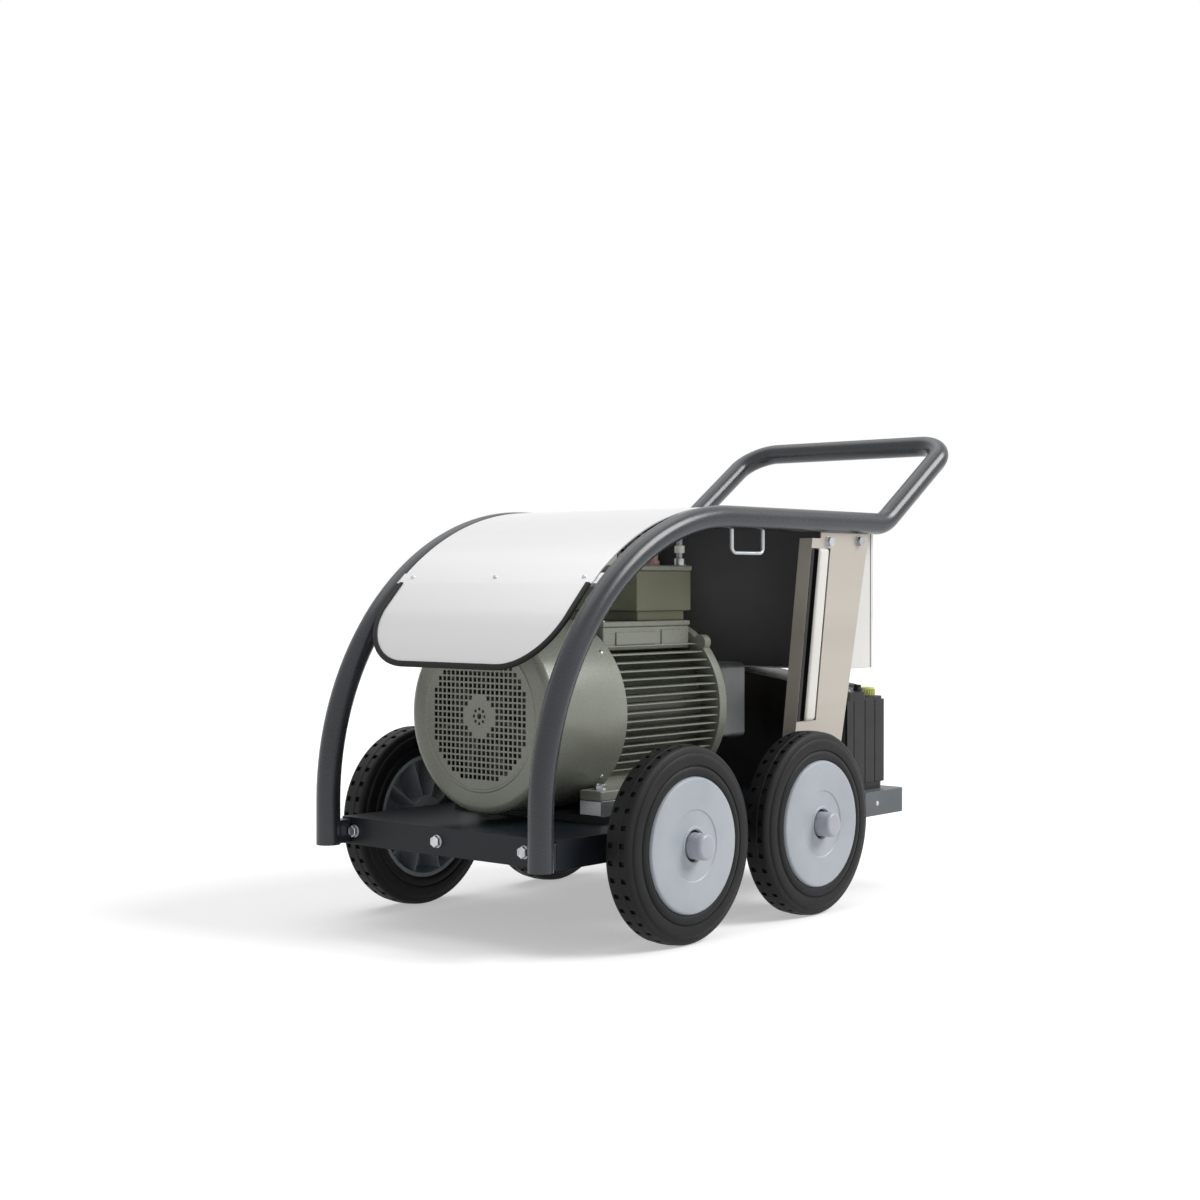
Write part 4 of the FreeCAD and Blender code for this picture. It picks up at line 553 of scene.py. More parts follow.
# ---------------------------------------------------------------- motor feet
# Black cross rails on the deck, bright spacer blocks on them, and the motor's own cast feet on top, all
# bolted through. The casting is sprayed with the motor in stone-grey enamel.
# Matt black lets the rails recede. Sprayed enamel lies thick, so it shines softly over the casting.
black_coat = finish("powder_coat_black_matt", "#1a1b1d", "#121315", (0.5, 0.62), 0.001, 0.0001, shine=0.3)
enamel = finish("machine_enamel_stone_grey", "#8f9287", "#84877b", (0.24, 0.34), 0.0022, 0.00006, cloud=0.16)
MOTOR_AXIS_Z = 0.3364
FOOT_THICK = 0.016
FOOT_WIDTH = 0.044
FOOT_END_GAP = 0.013
SPACER_DEPTH = 0.042
spacer_low, spacer_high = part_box("motor_spacers")
cowl_low, cowl_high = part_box("fan_cowl")
shield_low, shield_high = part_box("drive_shield")
foot_y = spacer_high.y - SPACER_DEPTH / 2
barrel_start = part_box("fan_shield")[1].x
barrel_end = shield_low.x
clad("cross_rails", "motor_rails", 0.001, black_coat, "chassis", "black_steel")
clad("spacer_blocks", "motor_spacers", 0.0012, zinc, "chassis", "pump_alloy")
feet = []
for side in (-1, 1):
    inner, middle, outer = (side * (foot_y - FOOT_WIDTH), side * (foot_y - FOOT_WIDTH / 2),
                            side * (foot_y + FOOT_WIDTH / 2))
    base, top = spacer_high.z, spacer_high.z + FOOT_THICK
    wall = inner + side * FOOT_THICK
    feet.append(((cowl_high.x, min(inner, outer), base), (barrel_end - FOOT_END_GAP, max(inner, outer), top)))
    feet.append(((spacer_low.x, min(middle, outer), base), (cowl_high.x + 0.002, max(middle, outer), top)))
    feet.append(((cowl_high.x, min(inner, wall), top - 0.002),
                 (barrel_end - FOOT_END_GAP, max(inner, wall), MOTOR_AXIS_Z)))
fitted(eased("motor_feet", blocks(*feet), 0.0025), enamel, "chassis", "motor_paint")


# ---------------------------------------------------------------- motor barrel and fins
# The stator's cast barrel, with level cooling fins that all reach the same circle. Cast fins taper a little
# and have round tips. The laminated core inside only shows through the gaps.
BARREL_RADIUS = 0.112
BARREL_WALL = 0.008
FIN_TIP = 0.146
FIN_ROOT = 0.06
FIN_PITCH = 0.013
FIN_COUNT = 17
FIN_ROOT_THICK = 0.0046
FIN_TIP_THICK = 0.0026
BARREL_BORE = BARREL_RADIUS - BARREL_WALL
barrel_profile = outline([(barrel_start, BARREL_BORE, 0), (barrel_start, BARREL_RADIUS, 0.001),
                          (barrel_end, BARREL_RADIUS, 0.001), (barrel_end, BARREL_BORE, 0)])
barrel = turned("motor_barrel", barrel_profile, (0, 0, MOTOR_AXIS_Z), "X", 96, closed=True)
fitted(barrel, enamel, "chassis", "motor_paint", "stator_housing")

fin_tree, given = tree_with("fins_to_a_circle", Count="Int", Pitch="Float", Reach="Float", Fin="Object",
                            Finish="Material")
gaps = add(fin_tree, "ShaderNodeMath", {0: given["Count"], 1: -1.0})
half_gaps = add(fin_tree, "ShaderNodeMath", {0: gaps.outputs[0], 1: -0.5}, operation="MULTIPLY")
lowest = add(fin_tree, "ShaderNodeMath", {0: half_gaps.outputs[0], 1: given["Pitch"]}, operation="MULTIPLY")
fin_start = add(fin_tree, "ShaderNodeCombineXYZ", {"Z": lowest.outputs[0]})
fin_step = add(fin_tree, "ShaderNodeCombineXYZ", {"Z": given["Pitch"]})
rows = add(fin_tree, "GeometryNodeMeshLine", {"Count": given["Count"], "Start Location": fin_start.outputs[0],
                                              "Offset": fin_step.outputs[0]}, mode="OFFSET")
height = add(fin_tree, "ShaderNodeSeparateXYZ", {0: add(fin_tree, "GeometryNodeInputPosition").outputs[0]})
share = add(fin_tree, "ShaderNodeMath", {0: height.outputs["Z"], 1: given["Reach"]}, operation="DIVIDE")
square = add(fin_tree, "ShaderNodeMath", {0: share.outputs[0], 1: share.outputs[0]}, operation="MULTIPLY")
rest = add(fin_tree, "ShaderNodeMath", {0: 1.0, 1: square.outputs[0]}, operation="SUBTRACT")
width = add(fin_tree, "ShaderNodeMath", {0: rest.outputs[0]}, operation="SQRT")
fin_scale = add(fin_tree, "ShaderNodeCombineXYZ", {"X": 1.0, "Y": width.outputs[0], "Z": 1.0})
fin_shape = add(fin_tree, "GeometryNodeObjectInfo", {"Object": given["Fin"]})
fins = add(fin_tree, "GeometryNodeInstanceOnPoints",
           {"Points": rows.outputs[0], "Instance": fin_shape.outputs["Geometry"],
            "Scale": fin_scale.outputs[0]})
ends_in(fin_tree, fins.outputs[0], given["Finish"])

fin_section = []
for side in (1, -1):
    root, tip = FIN_ROOT_THICK / 2, FIN_TIP_THICK / 2
    fin_section += [(side * FIN_ROOT, -side * root), (side * (FIN_TIP - tip), -side * tip)]
    for degrees in (30, 60, 90, 120, 150):
        back_in, out = round_x(degrees, tip)
        fin_section.append((side * (FIN_TIP - tip + out), -side * back_in))
    fin_section += [(side * (FIN_TIP - tip), side * tip), (side * FIN_ROOT, side * root)]
fin = bpy.data.meshes.new("fin")
turns = len(fin_section)
fin_ends = [(x, y, z) for x in (barrel_start, barrel_end) for y, z in fin_section]
fin.from_pydata(fin_ends, [], [(k, (k + 1) % turns, turns + (k + 1) % turns, turns + k) for k in range(turns)]
                + [tuple(range(turns - 1, -1, -1)), tuple(range(turns, 2 * turns))])
fin_object = put("fin", fin)
fin_rows = grown("cooling_fins", seed(), fin_tree, Count=FIN_COUNT,
                 Pitch=FIN_PITCH, Reach=FIN_TIP, Fin=fin_object, Finish=enamel)
bpy.data.objects.remove(fin_object)
placed(fin_rows, Matrix.Translation((0, 0, MOTOR_AXIS_Z)))
fitted(fin_rows, None, "chassis", "motor_paint")


# ---------------------------------------------------------------- fan cowl
# A deep-drawn steel cowl over the motor's fan: a rolled front rim, a raised ring, and a field of square air
# holes punched round a plain middle. It is sprayed with the motor.
COWL_RADIUS = 0.1514
COWL_SHEET = 0.002
COWL_RIM = 0.012
RING_RADIUS = 0.1153
GRILLE_REACH = 0.1054
GRILLE_PITCH = 0.0094
GRILLE_HOLE = 0.0066
GRILLE_HUB = 0.027
PLATE_EDGE = 0.111
front, end = cowl_low.x, cowl_high.x
cowl_profile = outline([
    (end, COWL_RADIUS, 0.0004), (front, COWL_RADIUS, COWL_RIM), (front, RING_RADIUS + 0.0030, 0.001),
    (front - 0.0014, RING_RADIUS + 0.0014, 0.001), (front - 0.0014, RING_RADIUS - 0.0014, 0.001),
    (front + 0.0004, RING_RADIUS - 0.0030, 0.001), (front + 0.0004, PLATE_EDGE, 0),
    (front + 0.002, PLATE_EDGE, 0),
    (front + COWL_SHEET, COWL_RADIUS - COWL_SHEET, COWL_RIM - COWL_SHEET), (end, COWL_RADIUS - COWL_SHEET, 0),
])
cowl = turned("cowl_shell", cowl_profile, (0, 0, MOTOR_AXIS_Z), "X", 144, closed=True)
fitted(cowl, enamel, "chassis", "motor_paint", "fan_cowl")

grille_tree, given = tree_with("punched_plate", Rows="Int", Pitch="Float", Hole="Float", Reach="Float",
                               Hub="Float", Edge="Float", Thickness="Float", Finish="Material")
spaces = add(grille_tree, "ShaderNodeMath", {0: given["Rows"], 1: -1.0})
side_length = add(grille_tree, "ShaderNodeMath", {0: spaces.outputs[0], 1: given["Pitch"]},
                  operation="MULTIPLY")
field = add(grille_tree, "GeometryNodeMeshGrid",
            {"Size X": side_length.outputs[0], "Size Y": side_length.outputs[0],
             "Vertices X": given["Rows"], "Vertices Y": given["Rows"]})
from_middle = add(grille_tree, "ShaderNodeVectorMath",
                  {0: add(grille_tree, "GeometryNodeInputPosition").outputs[0]}, operation="LENGTH")
half_hole = add(grille_tree, "ShaderNodeMath", {0: given["Hole"], 1: 0.5}, operation="MULTIPLY")
farthest = add(grille_tree, "ShaderNodeMath", {0: given["Reach"], 1: half_hole.outputs[0]},
               operation="SUBTRACT")
nearest = add(grille_tree, "ShaderNodeMath", {0: given["Hub"], 1: half_hole.outputs[0]})
too_far = add(grille_tree, "ShaderNodeMath", {0: from_middle.outputs["Value"], 1: farthest.outputs[0]},
              operation="GREATER_THAN")
too_near = add(grille_tree, "ShaderNodeMath", {0: from_middle.outputs["Value"], 1: nearest.outputs[0]},
               operation="LESS_THAN")
unwanted = add(grille_tree, "ShaderNodeMath", {0: too_far.outputs[0], 1: too_near.outputs[0]},
               operation="MAXIMUM")
kept = add(grille_tree, "GeometryNodeDeleteGeometry",
           {"Geometry": field.outputs[0], "Selection": unwanted.outputs[0]}, domain="POINT")
square_hole = add(grille_tree, "GeometryNodeCurvePrimitiveQuadrilateral",
                  {"Width": given["Hole"], "Height": given["Hole"]})
holes = add(grille_tree, "GeometryNodeInstanceOnPoints",
            {"Points": kept.outputs[0], "Instance": square_hole.outputs[0]})
small_ring = add(grille_tree, "GeometryNodeMeshCircle", {"Vertices": 8, "Radius": 0.0112})
small_hole = add(grille_tree, "GeometryNodeCurvePrimitiveCircle", {"Resolution": 16, "Radius": 0.0026})
small_holes = add(grille_tree, "GeometryNodeInstanceOnPoints",
                  {"Points": small_ring.outputs[0], "Instance": small_hole.outputs[0]})
middle_hole = add(grille_tree, "GeometryNodeCurvePrimitiveCircle", {"Resolution": 24, "Radius": 0.0045})
plate_edge = add(grille_tree, "GeometryNodeCurvePrimitiveCircle",
                 {"Resolution": 144, "Radius": given["Edge"]})
all_curves = add(grille_tree, "GeometryNodeJoinGeometry")
for part in (holes, small_holes, middle_hole, plate_edge):
    grille_tree.links.new(part.outputs[0], all_curves.inputs[0])
real_curves = add(grille_tree, "GeometryNodeRealizeInstances", {0: all_curves.outputs[0]})
sheet = add(grille_tree, "GeometryNodeFillCurve", {"Curve": real_curves.outputs[0]}, mode="NGONS")
raised = add(grille_tree, "GeometryNodeExtrudeMesh",
             {"Mesh": sheet.outputs[0], "Offset Scale": given["Thickness"], "Individual": False},
             mode="FACES")
under = add(grille_tree, "GeometryNodeFlipFaces", {0: sheet.outputs[0]})
both = add(grille_tree, "GeometryNodeJoinGeometry")
for part in (raised, under):
    grille_tree.links.new(part.outputs[0], both.inputs[0])
closed_plate = add(grille_tree, "GeometryNodeMergeByDistance",
                   {"Geometry": both.outputs[0], "Distance": 1e-5})
ends_in(grille_tree, closed_plate.outputs[0], given["Finish"])

grille = grown("cowl_grille", seed(), grille_tree,
               Rows=2 * int(GRILLE_REACH / GRILLE_PITCH) + 3, Pitch=GRILLE_PITCH, Hole=GRILLE_HOLE,
               Reach=GRILLE_REACH, Hub=GRILLE_HUB, Edge=PLATE_EDGE, Thickness=0.0014, Finish=enamel)
upright_turn = Matrix.Rotation(math.radians(-90), 4, "Y")
placed(grille, Matrix.Translation((front + 0.0018, 0, MOTOR_AXIS_Z)) @ upright_turn)
fitted(grille, None, "chassis", "motor_paint")


# ---------------------------------------------------------------- fan, shields and rotor
# Behind the grille a grey plastic fan with straight blades turns on the shaft. A cast shield closes each
# end of the barrel and holds a bearing. The rotor and the winding stack are hidden inside.
def dressed(node, material):
    """A construction node that is shown as it is, with its finish."""
    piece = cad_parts[node]
    piece.data.materials.clear()
    piece.data.materials.append(material)


# Moulded nylon is dull, oiled steel glints, and the stack shows its sheets' edges as thin lines.
fan_plastic = finish("polyamide_moulded_grey", "#74766f", "#686a63", (0.4, 0.55), 0.0014, 0.0001)
steel = finish("machined_steel_oiled", "#9a9c9e", "#85878a", (0.25, 0.4), 0.0004, 0.00003, metallic=1.0)
laminate = finish("electrical_steel_stack", "#5c5d60", "#4a4b4e", (0.4, 0.6), 0.0005, 0.0001, metallic=1.0,
                  stretch=(40, 1, 1))
clad("radial_fan", "cooling_fan", 0.0012, fan_plastic, "rotor", "black_plastic")
clad("rear_shield", "fan_shield", 0.002, enamel, "chassis", "motor_paint")
clad("drive_end_shield", "drive_shield", 0.0025, enamel, "chassis", "motor_paint")
for node, body in (("motor_shaft", "rotor"), ("crankshaft", "rotor"), ("motor_bearings", "chassis")):
    dressed(node, steel)
for node in ("stator_core", "rotor_core"):
    dressed(node, laminate)


# ---------------------------------------------------------------- hex bolts and washers
# Zinc-plated M10 hex bolts with washers hold the deck's front edge, the motor's feet, its drive shield and
# the uprights. Each head is forged with a chamfered crown.
placing_tree, given = tree_with("parts_on_aimed_points", Part="Object", Size="Float", Finish="Material")
aim = add(placing_tree, "GeometryNodeInputNamedAttribute", {"Name": "aim"}, data_type="FLOAT_VECTOR")
turn = add(placing_tree, "FunctionNodeAlignRotationToVector", {"Vector": aim.outputs["Attribute"]}, axis="Z")
part_shape = add(placing_tree, "GeometryNodeObjectInfo", {"Object": given["Part"]})
parts = add(placing_tree, "GeometryNodeInstanceOnPoints",
            {"Points": given["Geometry"], "Instance": part_shape.outputs["Geometry"],
             "Rotation": turn.outputs[0], "Scale": given["Size"]})
ends_in(placing_tree, parts.outputs[0], given["Finish"])


def set_out(name, part, places, material, *nodes, size=1.0):
    """Copies of a fastener that stand on points, each along its own direction, fixed to the chassis."""
    points = bpy.data.meshes.new("points")
    points.from_pydata([p for p, _ in places], [], [])
    aims = points.attributes.new("aim", "FLOAT_VECTOR", "POINT")
    aims.data.foreach_set("vector", [c for _, direction in places for c in direction])
    copies = grown(name, put("points", points), placing_tree, Part=part, Size=size, Finish=material)
    return fitted(copies, None, "chassis", "zinc_steel", *nodes)


def joined(name, *pieces):
    """Several pieces as one."""
    shape = bmesh.new()
    for piece in pieces:
        shape.from_mesh(piece.data)
        bpy.data.objects.remove(piece)
    return put(name, as_mesh(name, shape, SMOOTH))


def bolt(name, flats, height, washer):
    """A hex head with a chamfered crown on its washer, standing on the origin."""
    across = flats / math.sqrt(3)
    base = 0.0016 if washer else 0.0
    crown = height + base
    head = turned("head", [(base, 0), (base, across), (crown - 0.0011, across), (crown, across * 0.86),
                           (crown, across * 0.62), (crown - 0.0005, across * 0.58), (crown - 0.0005, 0)],
                  (0, 0, 0), "Z", 6)
    if not washer:
        head.name = name
        return head
    rim = flats * 0.62
    ring = turned("washer", outline([(0, 0, 0), (0, rim, 0), (base, rim, 0.0005), (base, 0, 0)],
                                    closed=False), (0, 0, 0), "Z", 32)
    return joined(name, head, ring)


BOLT_FLATS = 0.016
BOLT_HEAD = 0.0064
EAR_CIRCLE = 0.150
EAR_SEAT = 0.008
EAR_BOLT_SIZE = 0.75
DECK_BOLT_Y = (0.199, 0.0145, -0.165)
FOOT_BOLT_INSET = 0.0235
UPRIGHT_BOLTS = ((0.16305, 0.6124), (0.25745, 0.6149))
m10 = bolt("m10_bolt", BOLT_FLATS, BOLT_HEAD, True)
front_z = (tray_low.z + tray_high.z) / 2
upright_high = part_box("uprights")[1]
foot_top = spacer_high.z + FOOT_THICK
foot_x_places = (spacer_low.x + FOOT_BOLT_INSET, spacer_high.x - FOOT_BOLT_INSET)
bolt_places = [((tray_low.x, y, front_z), (-1, 0, 0)) for y in DECK_BOLT_Y]
bolt_places += [((x, side * foot_y, foot_top), (0, 0, 1)) for x in foot_x_places for side in (-1, 1)]
bolt_places += [((x, side * upright_high.y, z), (0, side, 0))
                for x, z in UPRIGHT_BOLTS for side in (-1, 1)]
set_out("m10_bolts", m10, bolt_places, zinc, "hex_bolts")
ear_places = []
for degrees in (45, 135, 225, 315):
    across, up = round_x(degrees, EAR_CIRCLE)
    ear_places.append(((shield_high.x - EAR_SEAT, across, MOTOR_AXIS_Z + up), (1, 0, 0)))
set_out("shield_bolts", m10, ear_places, zinc, size=EAR_BOLT_SIZE)
bpy.data.objects.remove(m10)


# ---------------------------------------------------------------- terminal and junction boxes
# Cast boxes stacked on the barrel, with gasketed lids and four screws each, and a cable gland beside the
# rigid conduit that takes the motor's cable up to the cabinet.
# The motor's enamel in a darker, more olive tone, and less glossy.
olive_enamel = finish("machine_enamel_stone_grey_aged", "#75775f", "#6a6c55", (0.34, 0.46), 0.0022, 0.00012,
                      cloud=0.1)
SCREW_INSET = 0.009
SCREW_HEAD = 0.0042
PAD_THICK = 0.0025
clad("terminal_casting", "terminal_box", 0.0035, enamel, "chassis", "motor_paint")
clad("junction_casting", "junction_box", 0.0035, olive_enamel, "chassis", "motor_paint")
clad("cast_lids", "box_lids", 0.0028, enamel, "chassis", "motor_paint")
terminal_low, terminal_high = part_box("terminal_box")
junction_low, junction_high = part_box("junction_box")
lid_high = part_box("box_lids")[1]
LID_THICK = 0.009


def screw(name, head_radius, height):
    """A domed screw head with a shallow round recess, standing on the origin."""
    dome = [(height * math.sin(math.radians(a)), head_radius * math.cos(math.radians(a)))
            for a in (0, 25, 50, 70)]
    head = turned("dome", [(0, 0)] + dome + [(height, head_radius * 0.2), (height * 0.45, head_radius * 0.18),
                                              (height * 0.45, 0)], (0, 0, 0), "Z", 20)
    head.name = name
    return head


lid_screw = screw("lid_screw", SCREW_HEAD, 0.003)
lid_places = []
for low, high, top in ((terminal_low, terminal_high, terminal_high.z + LID_THICK),
                       (junction_low, junction_high, lid_high.z)):
    lid_places += [((x, y, top), (0, 0, 1)) for x in (low.x + SCREW_INSET, high.x - SCREW_INSET)
                   for y in (low.y + SCREW_INSET, high.y - SCREW_INSET)]
lid_places = [p for p in lid_places if p[0][2] > 0.5 or p[0][0] < junction_low.x + 0.005]
set_out("lid_screws", lid_screw, lid_places, zinc)
bpy.data.objects.remove(lid_screw)
pads = blocks(
    ((terminal_low.x + 0.03, terminal_low.y - PAD_THICK, terminal_low.z + 0.008),
     (terminal_high.x - 0.09, terminal_low.y + 0.001, terminal_high.z - 0.008)),
    ((terminal_high.x - 0.075, terminal_low.y - PAD_THICK, terminal_low.z + 0.006),
     (terminal_high.x - 0.025, terminal_low.y + 0.001, terminal_high.z - 0.006)))
fitted(eased("cable_entry_pads", pads, 0.0016), enamel, "chassis", "motor_paint")
GLAND_X, GLAND_Y = -0.112, -0.06
# Bare nylon: warm, pale and half matt.
gland_plastic = finish("polyamide_moulded_flesh", "#c9a79b", "#bd9a8e", (0.4, 0.5), 0.001, 0.00005)
gland = turned("cable_gland", outline([
    (0, 0, 0), (0, 0.012, 0), (0.008, 0.012, 0.001), (0.008, 0.0095, 0.0005), (0.018, 0.0085, 0.003),
    (0.018, 0, 0)], closed=False), (GLAND_X, GLAND_Y, lid_high.z), "Z", 32)
fitted(gland, gland_plastic, "chassis", "cap_plastic")

conduit_low, conduit_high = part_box("conduit")
conduit_radius = (conduit_high.y - conduit_low.y) / 2
conduit_x, conduit_y = conduit_low.x + conduit_radius, (conduit_low.y + conduit_high.y) / 2
conduit_top = conduit_high.z - conduit_radius
# Galvanised steel: a dull silver in slow patches.
conduit_steel = finish("galvanised_conduit", "#a4a8aa", "#8f9395", (0.35, 0.5), 0.003, 0.00005, metallic=0.85)
CONDUIT_BEND = 0.024
conduit_run = [(conduit_x, conduit_y, conduit_low.z), (conduit_x, conduit_y, conduit_top),
               (conduit_high.x, conduit_y, conduit_top)]
piped("motor_conduit", conduit_run, [0, CONDUIT_BEND, 0], conduit_radius, 24, conduit_steel, "zinc_steel",
      "conduit")
# Hard white plastic: clean, with a small highlight.
white_plastic = finish("polycarbonate_moulded_white", "#eceae4", "#e4e2dc", (0.28, 0.38), 0.0014, 0.00004)
for k, z in enumerate((conduit_low.z, conduit_top - 0.05)):
    collar = turned(f"conduit_collar_{k + 1}", outline([
        (0, conduit_radius, 0), (0, conduit_radius + 0.0035, 0.0006),
        (0.012, conduit_radius + 0.0035, 0.0008), (0.013, conduit_radius, 0)]),
        (conduit_x, conduit_y, z), "Z", 32, closed=True)
    fitted(collar, white_plastic if k else zinc, "chassis", "duct_plastic" if k else "zinc_steel")


# ---------------------------------------------------------------- pump
# Behind the motor: a cast lantern with the elastic coupling in it, an alloy crankcase and a brass head with
# valve caps, a bypass valve and its knob. Castings are bead blasted, and the brass is left bare.
# Blasted alloy scatters light evenly, bare brass glows warm, and ground ceramic looks almost wet.
alloy = finish("cast_aluminium_blasted", "#b4b6b7", "#a2a4a6", (0.42, 0.58), 0.0009, 0.00018, metallic=0.9)
brass = finish("brass_forged_bare", "#bda874", "#a69060", (0.28, 0.44), 0.0008, 0.00006, metallic=1.0)
ceramic = finish("alumina_ceramic_ground", "#efece2", "#e6e2d6", (0.12, 0.2), 0.0008, 0.00001)
# Black nylon keeps a soft sheen, and hose rubber next to it has hardly any.
black_plastic = finish("polyamide_moulded_black", "#1b1c1e", "#131415", (0.34, 0.46), 0.0014, 0.00008,
                       shine=0.3)
hose_rubber = finish("rubber_hose_black", "#222325", "#191a1c", (0.5, 0.64), 0.0012, 0.0001)
BELL_RADIUS = 0.078
FLANGE_RADIUS = 0.096
FLANGE_THICK = 0.010
bell_low, bell_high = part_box("bell_housing")
lantern = turned("pump_lantern", outline([
    (bell_low.x, 0.052, 0), (bell_low.x, FLANGE_RADIUS, 0.001),
    (bell_low.x + FLANGE_THICK, FLANGE_RADIUS, 0.0025),
    (bell_low.x + FLANGE_THICK, BELL_RADIUS + 0.002, 0.004),
    (bell_high.x - 0.012, BELL_RADIUS - 0.004, 0.003), (bell_high.x - 0.010, BELL_RADIUS, 0.002),
    (bell_high.x, BELL_RADIUS, 0.001), (bell_high.x, 0.052, 0)]), (0, 0, MOTOR_AXIS_Z), "X", 96, closed=True)
fitted(lantern, alloy, "chassis", "pump_alloy", "bell_housing")
clad("elastic_coupling", "shaft_coupling", 0.0012, alloy, "rotor", "pump_alloy")
clad("crankcase_casting", "pump_crankcase", 0.003, alloy, "chassis", "pump_alloy")
clad("brass_head", "pump_head", 0.0016, brass, "chassis", "brass")
clad("bypass_valve", "unloader_valve", 0.001, brass, "chassis", "brass")
clad("pressure_knob", "regulator_knob", 0.0008, black_plastic, "regulator", "black_plastic")
dressed("pump_plungers", ceramic)

crank_low, crank_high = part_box("pump_crankcase")
head_low, head_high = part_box("pump_head")
COVER_THICK = 0.004
COVER_IN_Y = 0.012
COVER_IN_Z = 0.014
M6_FLATS = 0.010
M6_HEAD = 0.004
cover_mid_z = (crank_low.z + crank_high.z) / 2
cover = blocks(((crank_high.x, crank_low.y + COVER_IN_Y, crank_low.z + COVER_IN_Z),
                (crank_high.x + COVER_THICK, crank_high.y - COVER_IN_Y, crank_high.z - COVER_IN_Z)))
fitted(eased("crankcase_cover", cover, 0.002), alloy, "chassis", "pump_alloy")
m6 = bolt("m6_bolt", M6_FLATS, M6_HEAD, True)
FLANGE_SCREW_CIRCLE = 0.087
m6_places = []
for degrees in range(30, 390, 60):
    across, up = round_x(degrees, FLANGE_SCREW_CIRCLE)
    m6_places.append(((bell_low.x + FLANGE_THICK, across, MOTOR_AXIS_Z + up), (1, 0, 0)))
m6_places += [((crank_high.x + COVER_THICK, y, z), (1, 0, 0))
              for y in (crank_low.y + 0.02, crank_high.y - 0.02)
              for z in (crank_low.z + 0.022, cover_mid_z, crank_high.z - 0.022)]
m6_places += [((x, head_high.y, z), (0, 1, 0)) for x in (head_low.x + 0.01, head_high.x - 0.01)
              for z in (MOTOR_AXIS_Z - 0.026, MOTOR_AXIS_Z + 0.026)]
set_out("pump_screws", m6, m6_places, zinc)
bpy.data.objects.remove(m6)
# Oil behind clear acrylic: a bright amber dot.
sight_glass = finish("acrylic_sight_glass", "#caa23a", "#b8902e", (0.08, 0.14), 0.002, 0.00001)
sight = turned("oil_sight_glass", outline([
    (0, 0, 0), (0, 0.012, 0), (0.003, 0.012, 0.001), (0.003, 0.008, 0.0004), (0.0018, 0.0076, 0),
    (0.0018, 0, 0)], closed=False), (crank_high.x + COVER_THICK, 0, MOTOR_AXIS_Z), "X", 32)
fitted(sight, sight_glass, "chassis", "brass")

suction_low, suction_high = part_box("suction_hose")
hose_radius = (suction_high.y - suction_low.y) / 2
hose_y = (suction_high.y + suction_low.y) / 2
hose_mid = (suction_low.x + suction_high.x) / 2
hose_bottom, hose_top = suction_low.z + hose_radius, suction_high.z - hose_radius
HOSE_BEND = 0.026
hose_run = [(suction_high.x, hose_y, hose_bottom), (hose_mid, hose_y, hose_bottom),
            (hose_mid, hose_y, hose_top), (suction_low.x, hose_y, hose_top)]
piped("suction_line", hose_run, [0, HOSE_BEND, HOSE_BEND, 0], hose_radius, 28, hose_rubber, "hose_rubber",
      "suction_hose")
pipe_low, pipe_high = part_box("pressure_pipe")
PIPE_RADIUS = 0.006
PIPE_BEND = 0.02
pipe_y, pipe_z = pipe_high.y - PIPE_RADIUS, pipe_low.z + PIPE_RADIUS
pipe_x = pipe_low.x + PIPE_RADIUS
pipe_run = [(pipe_x, pipe_low.y, MOTOR_AXIS_Z), (pipe_x, pipe_y, MOTOR_AXIS_Z), (pipe_x, pipe_y, pipe_z),
            (pipe_high.x, pipe_y, pipe_z)]
piped("pressure_line", pipe_run, [0, PIPE_BEND, PIPE_BEND, 0], PIPE_RADIUS, 24, zinc, "zinc_steel",
      "pressure_pipe")
clad("outlet_nipple", "outlet_coupler", 0.0007, brass, "chassis", "brass")
clad("inlet_nipple", "water_inlet", 0.0007, brass, "chassis", "brass")
for name, x, z in (("tank", suction_high.x - 0.008, hose_bottom), ("pump", suction_low.x + 0.002, hose_top)):
    clip = turned(f"hose_clip_{name}", outline([
        (0, hose_radius - 0.0004, 0), (0, hose_radius + 0.0012, 0.0003),
        (0.007, hose_radius + 0.0012, 0.0003), (0.007, hose_radius - 0.0004, 0)]),
        (x, hose_y, z), "X", 32, closed=True)
    fitted(clip, zinc, "chassis", "zinc_steel")


# ---------------------------------------------------------------- water tank
# A rotomoulded black polyethylene break tank: soft corners, raised panels that stiffen its side walls, and
# a yellow-green screw cap in a recess. Rotomoulding leaves a faint orange peel.
tank_pe = finish("polyethylene_rotomoulded_black", "#232323", "#181819", (0.36, 0.5), 0.003, 0.0003,
                 cloud=0.06, shine=0.3)
# Lime polypropylene: a plain, slightly waxy colour.
cap_pp = finish("polypropylene_moulded_lime", "#d2d884", "#c6cc74", (0.35, 0.45), 0.0014, 0.00008)
TANK_ROUNDING = 0.006
TANK_BOW = 0.005
BOWED_DEPTH = 0.019
PANEL_RISE = 0.0009
SIDE_PANELS = ((0.04, 0.19), (0.21, 0.46), (0.48, 0.7), (0.72, 0.95))
tank_low, tank_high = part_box("water_tank")
tank_middle = (tank_low.z + tank_high.z) / 2
bowed = bmesh.new()
bowed.from_mesh(merged("water_tank"))
for k in range(1, 12):
    cut = Vector((0, 0, tank_low.z + (tank_high.z - tank_low.z) * k / 12))
    bmesh.ops.bisect_plane(bowed, geom=bowed.verts[:] + bowed.edges[:] + bowed.faces[:], plane_co=cut,
                           plane_no=(0, 0, 1))
for vert in bowed.verts:
    if vert.co.x > tank_high.x - BOWED_DEPTH:
        vert.co.x -= TANK_BOW * ((vert.co.z - tank_middle) / (tank_high.z - tank_middle)) ** 2
